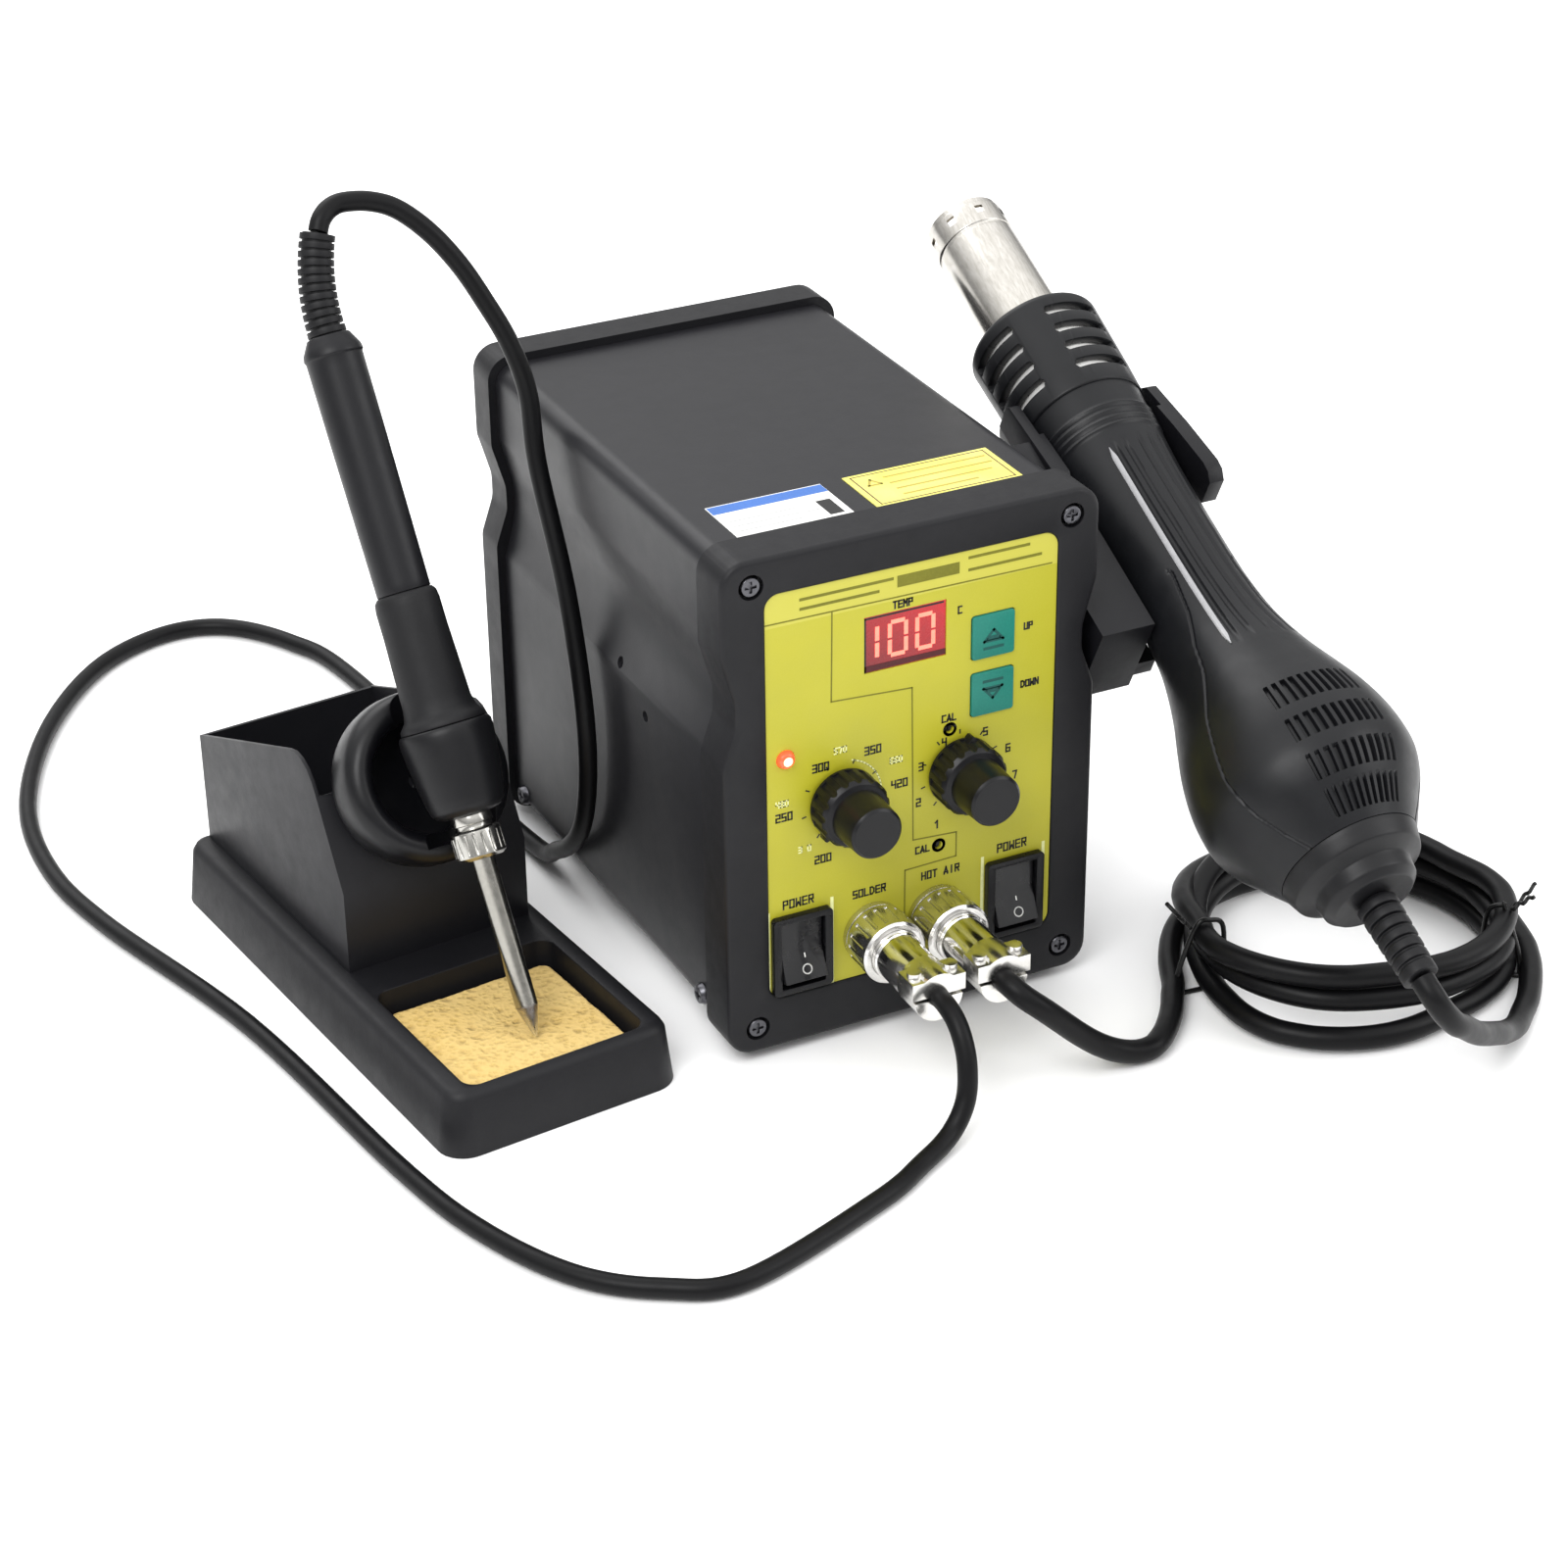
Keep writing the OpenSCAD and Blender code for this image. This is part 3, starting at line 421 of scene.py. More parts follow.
def lathe(profile, sides, ripple=None):
    """A closed ring of (along, radius) points turned about local Z; ripple(angle, along, r) reshapes it."""
    verts, faces = [], []
    n = len(profile)
    for k in range(sides):
        a = 2 * math.pi * k / sides
        for s, r in profile:
            if ripple:
                r = ripple(a, s, r)
            verts.append((r * math.cos(a), r * math.sin(a), s))
    for k in range(sides):
        for i in range(n):
            j = (i + 1) % n
            faces.append((k * n + i, ((k + 1) % sides) * n + i, ((k + 1) % sides) * n + j, k * n + j))
    return verts, faces


def solid_lathe(profile, sides, ripple=None):
    """An open line of (along, radius) points turned about local Z and closed on the axis at both ends."""
    verts, faces = [(0, 0, profile[0][0])], []
    n = len(profile)
    for k in range(sides):
        a = 2 * math.pi * k / sides
        for s, r in profile:
            if ripple:
                r = ripple(a, s, r)
            verts.append((r * math.cos(a), r * math.sin(a), s))
    verts.append((0, 0, profile[-1][0]))
    for k in range(sides):
        a, b = 1 + k * n, 1 + ((k + 1) % sides) * n
        faces.append((0, b, a))
        faces.append((len(verts) - 1, a + n - 1, b + n - 1))
        for i in range(n - 1):
            faces.append((a + i, b + i, b + i + 1, a + i + 1))
    return verts, faces


def rounded(points, radius, steps=4):
    """Rounds the corners of an open (along, radius) line."""
    out = [points[0]]
    for a, b, c in zip(points, points[1:], points[2:]):
        a, b, c = Vector(a), Vector(b), Vector(c)
        r = min(radius, (a - b).length * 0.45, (c - b).length * 0.45)
        p, q = b + (a - b).normalized() * r, b + (c - b).normalized() * r
        for k in range(steps + 1):
            t = k / steps
            out.append(tuple((1 - t) ** 2 * p + 2 * t * (1 - t) * b + t * t * q))
    out.append(points[-1])
    return out


def spline(points, steps):
    """A smooth line through all the points, with so many steps between each two."""
    out = []
    pts = [Vector(p) for p in points]
    m = len(pts) - 1
    for i in range(m):
        a, b, c, d = pts[max(i - 1, 0)], pts[i], pts[i + 1], pts[min(i + 2, m)]
        for k in range(steps):
            t = k / steps
            out.append(0.5 * (2 * b + (c - a) * t + (2 * a - 5 * b + 4 * c - d) * t * t
                              + (3 * b - a - 3 * c + d) * t ** 3))
    out.append(pts[m])
    return out


def sweep(path, radius, sides):
    """A closed tube round a path."""
    verts, faces = [], []
    m = len(path) - 1
    normal = Vector((0, 0.3, 1))
    for i, p in enumerate(path):
        t = (path[min(i + 1, m)] - path[max(i - 1, 0)]).normalized()
        normal = (normal - t * normal.dot(t)).normalized()
        side = t.cross(normal)
        for k in range(sides):
            a = 2 * math.pi * k / sides
            verts.append(p + radius * (math.cos(a) * normal + math.sin(a) * side))
    for i in range(m):
        for k in range(sides):
            j = (k + 1) % sides
            faces.append((i * sides + k, (i + 1) * sides + k, (i + 1) * sides + j, i * sides + j))
    faces.append(tuple(range(sides)))
    faces.append(tuple(m * sides + k for k in reversed(range(sides))))
    return verts, faces


def block(x0, x1, y0, y1, z0, z1):
    """A box between two corners."""
    v = [(x, y, z) for x in (x0, x1) for y in (y0, y1) for z in (z0, z1)]
    f = [(0, 1, 3, 2), (4, 6, 7, 5), (0, 4, 5, 1), (2, 3, 7, 6), (0, 2, 6, 4), (1, 5, 7, 3)]
    return v, f


def joined(*parts):
    """Several (points, faces) pairs as one."""
    verts, faces = [], []
    for v, f in parts:
        base = len(verts)
        verts += [tuple(p) for p in v]
        faces += [tuple(base + i for i in face) for face in f]
    return verts, faces


def cut(obj, verts, faces, matrix):
    """Takes a solid away from a piece."""
    data = bpy.data.meshes.new("cutter")
    data.from_pydata([matrix @ Vector(v) for v in verts], [], faces)
    tool = bpy.data.objects.new("cutter", data)
    bpy.context.scene.collection.objects.link(tool)
    modify(obj, "BOOLEAN", operation="DIFFERENCE", solver="EXACT", object=tool)
    bpy.data.objects.remove(tool)


def refined(node, mat, width, segments):
    """The CAD node's own shape with softened edges."""
    src = NODES[node]
    obj = bpy.data.objects.new(node + "_skin", src.data.copy())
    bpy.context.scene.collection.objects.link(obj)
    bm = bmesh.new()
    bm.from_mesh(obj.data)
    bmesh.ops.remove_doubles(bm, verts=bm.verts, dist=1e-6)
    bmesh.ops.dissolve_limit(bm, angle_limit=0.002, verts=bm.verts, edges=bm.edges)
    bm.to_mesh(obj.data)
    bm.free()
    if width:
        modify(obj, "BEVEL", width=width, segments=segments, limit_method="ANGLE",
               angle_limit=math.radians(35), harden_normals=False, use_clamp_overlap=True)
    finish_mesh(obj, mat, src["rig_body"], [node], smooth=40)


# ---- cords, first because their room is fixed
# routes start
IRON_ROUTE = [
    (0.0067, -0.0587, 0.0305), (0.0067, -0.0687, 0.0302), (0.0066, -0.0757, 0.027),
    (0.0061, -0.0807, 0.02), (0.0041, -0.0837, 0.011), (-0.0019, -0.0867, 0.0045),
    (-0.0129, -0.0927, 0.003), (-0.0299, -0.1017, 0.003), (-0.0719, -0.1157, 0.003),
    (-0.0919, -0.1097, 0.003), (-0.1089, -0.0947, 0.003), (-0.1219, -0.0677, 0.003),
    (-0.1299, -0.0337, 0.003), (-0.1419, 0.0453, 0.003), (-0.1609, 0.1143, 0.003),
    (-0.1659, 0.1513, 0.003), (-0.1609, 0.1893, 0.003), (-0.1429, 0.2313, 0.003),
    (-0.1179, 0.2643, 0.003), (-0.0929, 0.2783, 0.003), (-0.0719, 0.2753, 0.003),
    (-0.0559, 0.2543, 0.003), (-0.0469, 0.2213, 0.003), (-0.0384, 0.1063, 0.0035),
    (-0.0379, 0.0783, 0.012), (-0.0374, 0.0603, 0.03), (-0.0374, 0.0553, 0.06),
    (-0.0379, 0.0633, 0.098), (-0.0389, 0.0778, 0.131), (-0.0389, 0.0823, 0.15),
    (-0.0425, 0.0846, 0.1642), (-0.0479, 0.0873, 0.1762), (-0.0534, 0.0901, 0.1865),
    (-0.0601, 0.0928, 0.1955), (-0.0674, 0.0953, 0.202), (-0.0742, 0.0967, 0.2048),
    (-0.0811, 0.0974, 0.2055), (-0.0851, 0.0968, 0.2047), (-0.088, 0.0954, 0.2027),
    (-0.0895, 0.0941, 0.2001)]
AIR_ROUTE_A = [
    (0.0256, -0.0587, 0.0305), (0.0257, -0.0672, 0.0302), (0.0279, -0.0712, 0.028),
    (0.0321, -0.0737, 0.0245), (0.0368, -0.0742, 0.02), (0.043, -0.0742, 0.014),
    (0.049, -0.0742, 0.009), (0.0549, -0.0744, 0.0055), (0.0605, -0.0747, 0.0038),
    (0.0651, -0.0743, 0.0036), (0.0691, -0.0719, 0.0036), (0.0737, -0.0677, 0.0036),
    (0.0788, -0.0617, 0.0036), (0.0831, -0.0552, 0.0036), (0.0861, -0.0507, 0.0036)]
AIR_ROUTE_B = [
    (0.1051, -0.1333, 0.0458), (0.1057, -0.1371, 0.043), (0.1083, -0.1387, 0.0385),
    (0.1126, -0.1382, 0.0335), (0.1176, -0.1357, 0.0295), (0.1251, -0.1312, 0.023),
    (0.1321, -0.1267, 0.018), (0.1391, -0.1222, 0.0135), (0.1456, -0.1172, 0.009),
    (0.1531, -0.1122, 0.0058), (0.1601, -0.1057, 0.004), (0.1671, -0.0992, 0.0036),
    (0.1756, -0.0887, 0.0036), (0.1801, -0.0812, 0.0036), (0.1826, -0.0757, 0.0036)]
# routes end

IRON_CORD_R, AIR_CORD_R = 0.00265, 0.0032


def cord_mesh(name, path, radius, nodes):
    """A cord swept along its path, tied to no body."""
    verts, faces = sweep(path, radius * 0.995, 18)
    obj = build(name, verts, faces, Matrix.Identity(4), "cord_rubber", None, smooth=60)
    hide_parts(*nodes)
    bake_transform(obj)


cord_mesh("iron_cord_skin", spline(IRON_ROUTE, 10), IRON_CORD_R, ["iron_cord"])

# the coil's middle, where its turning starts, and its strands as (degrees turned, radius, height)
COIL, COIL_START, COIL_GAP = (119.5, -27.5), 166.7, 0.004
COIL_KEYS = [
    (2, 49.5, 3.6), (13, 47.8, 3.6), (31, 46, 4), (60, 43, 4), (90, 41.3, 4), (140, 41, 4), (180, 41.5, 4),
    (203, 42.8, 4), (238, 40.8, 4), (253, 40.9, 4), (281, 45.1, 4), (307, 47.9, 4), (322, 47.1, 4),
    (339, 43.6, 4), (360, 41.3, 4.5), (377, 41, 6), (410, 40.6, 9), (430, 40.2, 10), (450, 40.2, 11.3),
    (495, 40, 11.3), (540, 41, 11.3), (570, 42, 11.3), (600, 39, 11.3), (635, 37.9, 11.3), (668, 40, 11.3),
    (708, 40.8, 11.3), (730, 40.9, 12.5), (770, 41.5, 16), (810, 41.5, 18), (850, 40, 18), (877, 38, 18),
    (896, 41.1, 18), (911, 42.5, 18), (941, 40.8, 18), (974, 38, 18), (995, 36.9, 18), (1029, 40.4, 18),
    (1063, 44.4, 18), (1080, 42.8, 18), (1100, 44.5, 16.5), (1130, 46.5, 12), (1150, 47.3, 9.6),
    (1170, 47.6, 7.5), (1200, 48.2, 5.2), (1225, 48.5, 4), (1240, 48.8, 3.8), (1255, 49, 3.6)]


def coil_points():
    """The coil's turns, worked out from their keys."""
    out = []
    for phi, r, z in spline(COIL_KEYS, 5):
        a = math.radians(COIL_START - phi)
        out.append(at(COIL[0] + r * math.cos(a), COIL[1] + r * math.sin(a), z))
    return out


def thinned(points, gap):
    """The same points, ends included, without those closer than gap to the one before."""
    kept = [points[0]]
    for p in points[1:-1]:
        if (p - kept[-1]).length >= gap and (p - points[-1]).length >= gap:
            kept.append(p)
    return kept + [points[-1]]


air_keys = AIR_ROUTE_A + thinned(coil_points(), COIL_GAP) + AIR_ROUTE_B[::-1]
cord_mesh("air_cord_skin", spline(air_keys, 4), AIR_CORD_R, ["air_lead", "air_coil"])

# ---- helpers for the shapes below
SLOT = {s["node"]: s["material_slot"] for s in frame["record"]["subparts"]}
# each letter's strokes on a grid 2 wide and 4 high: pairs of figures are points, and a space lifts the pen
GLYPHS = {"A": "001420 0121", "C": "24040020", "D": "00041423211000", "E": "24040020 0222",
          "H": "0004 2024 0222", "I": "1014", "L": "040020", "M": "0004122420", "N": "00042024",
          "O": "0004242000", "P": "0004242202", "R": "0004242202 1220", "S": "240402222000",
          "T": "0424 1014", "U": "04002024", "W": "0400122024", "0": "0004242000", "1": "031410",
          "2": "042422020020", "3": "04242000 0222", "4": "040222 2420", "5": "240402222000",
          "6": "240400202202", "7": "042410", "8": "0004242000 0222"}


PANEL_MIDDLE, RAYS_FROM = 76.2, 76


def skin(node, width=0.0004, segments=2):
    refined(node, SLOT[node], width, segments)


def arc(cx, cz, r, start, end, steps=8):
    """Points round part of a circle."""
    turn = [math.radians(start + (end - start) * k / steps) for k in range(steps + 1)]
    return [(cx + r * math.cos(a), cz + r * math.sin(a)) for a in turn]


def mirrored(right):
    """An outline from the points of its right half."""
    return right + [(-x, z) for x, z in reversed(right)]


def outline(half, low, top, r, side=()):
    """A rounded rectangle seen from the front, its right side shaped by (offset, height) points."""
    return mirrored(arc(half - r, low + r, r, -90, 0) + [(half + dx, z) for dx, z in side]
                    + arc(half - r, top - r, r, 0, 90))


def centred(w, h, r):
    """A rounded rectangle round the panel's middle."""
    return outline(w / 2, PANEL_MIDDLE - h / 2, PANEL_MIDDLE + h / 2, r)


def on_rays(line, rays):
    """Where rays from inside cross an outline, so that unlike outlines join point to point."""
    out = []
    for a in rays:
        dx, dz = math.cos(a), math.sin(a)
        reach = []
        for (x0, z0), (x1, z1) in zip(line, line[1:] + line[:1]):
            den = dx * (z1 - z0) - dz * (x1 - x0)
            if abs(den) > 1e-9:
                t = (x0 * (z1 - z0) - (z0 - RAYS_FROM) * (x1 - x0)) / den
                u = (x0 * dz - (z0 - RAYS_FROM) * dx) / den
                if t > 0 and -1e-6 <= u <= 1 + 1e-6:
                    reach.append(t)
        out.append((max(reach) * dx, RAYS_FROM + max(reach) * dz))
    return out


def ring_loft(loops):
    """Joins (y, line) loops of equal length, the last one to the first."""
    n = len(loops[0][1])
    verts = [(x, y, z) for y, line in loops for x, z in line]
    faces = []
    for i in range(len(loops)):
        j = (i + 1) % len(loops)
        faces += [(i * n + k, i * n + (k + 1) % n, j * n + (k + 1) % n, j * n + k) for k in range(n)]
    return verts, faces


def moved(part, x, z):
    """The same (points, faces) pair somewhere else."""
    return [(a + x, b + z, c) for a, b, c in part[0]], part[1]


BAR_FACES = [(3, 2, 1, 0), (4, 5, 6, 7), (0, 1, 5, 4), (1, 2, 6, 5), (2, 3, 7, 6), (3, 0, 4, 7)]
INK = 0.05


def strokes(lines, width, low, high):
    """Thin flat bars along lines of (x, z) points."""
    parts = []
    for line in lines:
        for p, q in zip(line, line[1:]):
            p, q = Vector(p), Vector(q)
            d = (q - p).normalized() * width / 2
            n = Vector((-d.y, d.x))
            flat = [p - d - n, q + d - n, q + d + n, p - d + n]
            parts.append(([(c.x, c.y, h) for h in (low, high) for c in flat], BAR_FACES))
    return joined(*parts)


def words(text, x, z, height):
    """Stroke letters and figures centred on (x, z)."""
    unit, pitch = height / 4, 3.2
    left = x - (pitch * (len(text) - 1) + 2) * unit / 2
    lines = []
    for k, letter in enumerate(text):
        for path in GLYPHS.get(letter, "").split():
            points = zip(path[::2], path[1::2])
            lines.append([(left + (pitch * k + int(a)) * unit, z + (int(b) - 2) * unit) for a, b in points])
    return lines


def printed(name, lines, width, mat, matrix=None, level=-0.6, body="station", slot="panel_print"):
    """Ink on a surface, the panel's own unless a matrix says which."""
    parts = strokes(lines, width, level, level + INK)
    build(name, *parts, matrix or facing(0, 0), mat, body, slot=slot)


# ---- wire ties round the coiled cord
TIE_R, TIE_END_R = 0.0007, 0.0006


def wire_tie(name, phi, inner, outer, top):
    """A twisted wire round all the strands at one side of the coil, its two ends standing up."""
    a = math.radians(COIL_START - phi)
    out = Vector((math.cos(a), math.sin(a), 0))
    along = Vector((-math.sin(a), math.cos(a), 0))
    ring = [(inner, 0.8), (outer, 0.8), (outer + 0.6, 2), (outer - 0.5, 9), (outer - 5, top - 1),
            (inner + 4, top), (inner, top - 3), (inner - 0.6, 4), (inner, 0.8)]
    line = [at(COIL[0], COIL[1], 0) + (out * q.x + Vector((0, 0, q.y))) / 1000 for q in spline(ring, 6)]
    verts, faces = sweep(line, TIE_R, 10)
    build(name, verts, faces, Matrix.Identity(4), "tie_wire", "station", slot="cord_rubber", smooth=60)
    start = at(COIL[0], COIL[1], 0) + (out * (outer - 3) + Vector((0, 0, top - 1))) / 1000
    for k, lean in enumerate((-1, 1)):
        twist = [start + (along * lean * (0.5 * t + 0.9 * math.sin(2.5 * t)) + out * 0.9 * t
                          + Vector((0, 0, 1.1 * t))) / 1000 for t in [q * 0.5 for q in range(13)]]
        verts, faces = sweep(twist, TIE_END_R, 8)
        build(name + "_end_" + str(k), verts, faces, Matrix.Identity(4), "tie_wire", "station",
              slot="cord_rubber", smooth=60)


# near-white sheet for inside the heat guard: a painted sheen that shows bright through its slots
plastic("liner_steel", (0.85, 0.84, 0.82), 0.45, metal=0.2)
plastic("tie_wire", (0.006, 0.006, 0.006), 0.3)
wire_tie("left_tie", 352, 38, 51, 22)
wire_tie("right_tie", 566, 37, 46.5, 22.4)

# ---- control unit: bezels
UNIT_DEPTH = 161
CORNERS = [(x, z) for x in (-45.3, 45.3) for z in (10.4, 138)]
FINGER_GROOVE = rounded([(0, 86), (0, 88.5), (-3.7, 99), (-3.7, 106), (0, 119), (0, 121)], 1.6, 3)


def bezel_edge(inset):
    """The bezel's outer outline, drawn in by an inset."""
    return outline(53.5 - inset, 3 + inset, 145 - inset, 7 - inset, FINGER_GROOVE)


def bezel(node, depth, behind):
    """A moulded frame with a stepped window and a pocket for each corner screw."""
    hole, step = centred(83.3, 116.8, 4.1), centred(80.8, 113.4, 1.5)
    rays = sorted({round(math.atan2(z - 76, x), 4) for x, z in bezel_edge(0) + hole + step})
    layers = [(depth, bezel_edge(0)), (1.6, bezel_edge(0)), (0.9, bezel_edge(0.1)),
              (0.35, bezel_edge(0.45)), (0.08, bezel_edge(1)), (0, bezel_edge(1.6)),
              (0, centred(84.3, 117.8, 4.6)),
              (0.1, centred(83.8, 117.3, 4.3)), (0.4, hole), (2.4, hole), (2.4, step), (4, step),
              (4, bezel_edge(3.4)), (depth, bezel_edge(3.4))]
    loops = [(UNIT_DEPTH - y if behind else y, on_rays(line, rays)) for y, line in layers]
    obj = build(node + "_skin", *ring_loft(loops), place(0, 0, 0), "bezel_plastic", "station", [node])
    pocket = solid_lathe([(-1.6, 3.4), (1, 3.4)], 40)
    if behind:
        cut(obj, *joined(*[moved(pocket, x, -z) for x, z in CORNERS]), place(0, UNIT_DEPTH, 0, ("X", -90)))
    else:
        cut(obj, *joined(*[moved(pocket, x, z) for x, z in CORNERS]), facing(0, 0))
    finish_mesh(obj, "bezel_plastic", "station", [node])


bezel("front_bezel", 14, False)
bezel("rear_bezel", 12, True)

# ---- control unit: the nodes that keep their shape, with softened edges
for node in ("case_shell", "front_panel", "rear_panel", "display_window", "temp_shaft", "air_shaft",
             "top_labels", "base_plate"):
    skin(node, 0)
for node in ("case_screws", "bracket_screws", "rubber_feet", "mains_inlet", "fuse_drawer"):
    skin(node, 0.00015)
for node in ("temp_knob", "air_knob", "iron_switch_frame", "air_switch_frame", "iron_rocker", "air_rocker",
             "up_button", "down_button", "panel_sockets", "iron_plug_shell", "air_plug_shell",
             "iron_plug_ring", "air_plug_ring", "cable_clamps"):
    skin(node, 0.0003, 3)

# ---- control panel: lines, names and figures printed on it
TEMP_DIAL, AIR_DIAL, LED = (-20.3, 71.9), (13.9, 72.4), (-36.2, 87.8)
TRIMMERS, SWITCHES = ((10.9, 84.8), (8, 51.2)), ((-32.5, 30.7), (30.4, 30.6))
RULES = [[(-42, 126.4), (39.8, 125.7)],
         [(-22.9, 125.9), (-23.2, 101), (-0.2, 99.5), (0.4, 54.7), (13.2, 53.8), (13.2, 46.6), (-1.9, 46.2),
          (-2.1, 21)]]
TITLE_BARS = [[(-31.5, 131.4), (-6, 131.4)], [(-31.5, 128.8), (-10, 128.8)], [(16, 132.4), (33, 132.4)],
              [(16, 129), (36.5, 129)]]
NAMES = [("TEMP", -3, 124, 1.84), ("UP", 33.4, 109.4, 1.725), ("DOWN", 34.2, 92.8, 1.725),
         ("CAL", 10.6, 88.2, 1.84), ("CAL", 3.2, 51.2, 1.84), ("POWER", -33, 45.2, 2.3),
         ("POWER", 30, 45.4, 2.3), ("HOT AIR", 8.6, 43, 2.07), ("SOLDER", -12.4, 42.8, 2.07),
         ("C", 13.4, 118.4, 1.84)]
LEFT_DIAL = [("200", -25.8, 56.2), ("250", -36.8, 71.2), ("300", -26.3, 83), ("350", -11.4, 84.4),
             ("420", -3.7, 72.6), ("480", -8, 57.4)]
RIGHT_DIAL = [("1", 7.5, 57.6), ("2", 1.9, 65.5), ("3", 2.6, 75.9), ("4", 9.3, 81.4), ("5", 21.4, 81.6),
              ("6", 28.2, 75.1), ("7", 30.4, 66.6), ("8", 20.3, 57.4)]
PALE_DIAL = [("390", -31, 60.4), ("480", -37.3, 75.1), ("570", -20.7, 86.6), ("660", -4.7, 79.8)]


def dial_figures(dial, height):
    """The strokes of a dial's numbers."""
    return [line for text, x, z in dial for line in words(text, x, z, height)]


printed("panel_rules", RULES, 0.4, "print_line")
printed("panel_bars", TITLE_BARS, 0.8, "print_line")
printed("panel_badge", [[(-3, 130.3), (11.5, 130.3)]], 3.2, "print_line")
printed("panel_names", [line for name in NAMES for line in words(*name)], 0.46, "print_black")
printed("dial_black", dial_figures(LEFT_DIAL + RIGHT_DIAL, 2.1), 0.46, "print_black")
printed("dial_pale", dial_figures(PALE_DIAL, 1.6) + [arc(*TEMP_DIAL, 11.4, -50, 75, 22)], 0.36, "print_pale")
# black rings round the trimmer holes: painted shade that widens their dark dots
printed("trimmer_hole_shade", [arc(*middle, 1.55, 0, 360, 24) for middle in TRIMMERS], 0.8, "print_black")
printed("switch_outline", [[(x - 9.2, 43.6), (x - 9.2, 18), (x + 9.2, 18), (x + 9.2, 43.6)]
                           for x, z in SWITCHES], 0.9, "print_pale")
for name, (cx, cz), start, step, count in (("temp_ticks", TEMP_DIAL, 232, -40, 7),
                                           ("air_ticks", AIR_DIAL, 230, -35, 8)):
    turns = [math.radians(start + step * k) for k in range(count)]
    ticks = [[(cx + r * math.cos(a), cz + r * math.sin(a)) for r in (10.6, 11.5)] for a in turns]
    printed(name, ticks, 0.4, "print_black")

# ---- control panel: the display's figures, the keys' signs, the lamp and the rockers' marks


def nought(x):
    """The six outer bars of a seven-bar figure, with gaps at the corners."""
    low, mid, top = 110.1, 114.7, 119.3
    across = [[(x - 1.4, z), (x + 1.4, z)] for z in (low, top)]
    upright = [[(x + dx, a + 0.9), (x + dx, b - 0.9)] for dx in (-2.3, 2.3)
               for a, b in ((low, mid), (mid, top))]
    return across + upright


printed("display_rim", [[(-13.5, 121.6), (8.6, 121.6)], [(-13.5, 106.8), (-13.5, 121.6)]], 0.5,
        "print_black", level=-0.9)
# a dark red bar along the foot of the display: painted shade
printed("display_shade", [[(-13.4, 107.6), (9, 107.6)]], 1.6, "print_dusk", level=-0.9)
printed("display_figures", [[(-10.1, 111), (-10.1, 113.8)], [(-10.1, 115.6), (-10.1, 118.4)]] + nought(-4.2)
        + nought(3.6), 1.15, "display_red", level=-0.88)

for key, node, z, up in (("up_key", "up_button", 109.3, 1), ("down_key", "down_button", 93, -1)):
    tip = z + 1.6 * up
    sign = [[(20.3, z - 1.4 * up), (25.7, z - 1.4 * up), (23, tip), (20.3, z - 1.4 * up)],
            [(21.4, z - 0.9 * up), (24.6, z - 0.9 * up)]]
    printed(key + "_sign", sign, 0.75, "print_teal", level=-0.01, body=key, slot="button_green")
    bars = [[(22.2, z - 0.4 * up), (23.8, z - 0.4 * up)], [(20.4, z - 3.4 * up), (25.6, z - 3.4 * up)]]
    printed(key + "_bars", bars, 0.8, "print_teal", level=0, body=key, slot="button_green")

lens = rounded([(-3, 0.05), (-3, 2.5), (-0.6, 2.5), (0.7, 2.1), (1.25, 1.0), (1.35, 0.05)], 0.4)
build("status_led_skin", *solid_lathe(lens, 40), facing(*LED), "led_red", "station", ["status_led"])
build("led_heart", *solid_lathe([(1.1, 1.3), (1.45, 1.0), (1.55, 0.4)], 28), facing(*LED), "led_core",
      "station", slot="led_red")

to_pivot = Matrix.Translation((0, 0, -3.6)) @ Matrix.Rotation(math.radians(-12), 4, "X")
to_lower_face = Matrix.Translation((0, 0, 3.5)) @ Matrix.Rotation(math.radians(-12.5), 4, "X")
for name, middle in zip(("iron_switch", "air_switch"), SWITCHES):
    ring = arc(0.6, -5.8, 1.25, 0, 360, 24)
    printed(name + "_marks", [ring, [(0.6, -1.6), (0.6, -2.5)]], 0.32, "print_white",
            facing(*middle) @ to_pivot @ to_lower_face, -0.02, name, "rocker_black")

# ---- labels on the case's roof, plain bars for their text
ROOF = place(0, 0, 142.8)
printed("label_band", [[(-37.6, 34.9), (-9.8, 34.9)]], 4.4, "print_blue", ROOF, 0, slot="label_paper")
printed("label_lines", [[(-38.2, y), (-20, y)] for y in (21.3, 24.3, 27.3)] + [[(-17.6, 24), (-14.8, 24)]],
        0.6, "print_grey", ROOF, 0, slot="label_paper")
printed("label_block", [[(-11.4, 21.6), (-11.4, 26.4)]], 4, "print_black", ROOF, 0, slot="label_paper")
printed("label_frame", [[(0.8, 19.2), (39.4, 19.2), (39.4, 36.8), (0.8, 36.8), (0.8, 19.2)]], 0.35,
        "print_red", ROOF, 0, slot="label_paper")
printed("label_rows", [[(9, y), (w, y)] for y, w in ((33.6, 38), (29.8, 38), (26, 36), (22.2, 30))]
        + [[(3, 30.4), (6.6, 30.4), (4.8, 33.6), (3, 30.4)]], 0.7, "print_brown", ROOF, 0,
        slot="label_paper")

# ---- hot air gun
# (distance from the nozzle's end, radius) along the barrel
BARREL = [(77.4, 17.5), (85, 17.1), (93, 16.7), (105, 16), (118, 15.7), (138, 15.6), (148, 16), (157, 17),
          (165, 18.8), (173, 21.2), (181, 24.2), (189, 27), (197, 28.9), (204, 29.6), (210, 29.3),
          (216, 27.2), (222, 23.6), (229, 19.2)]
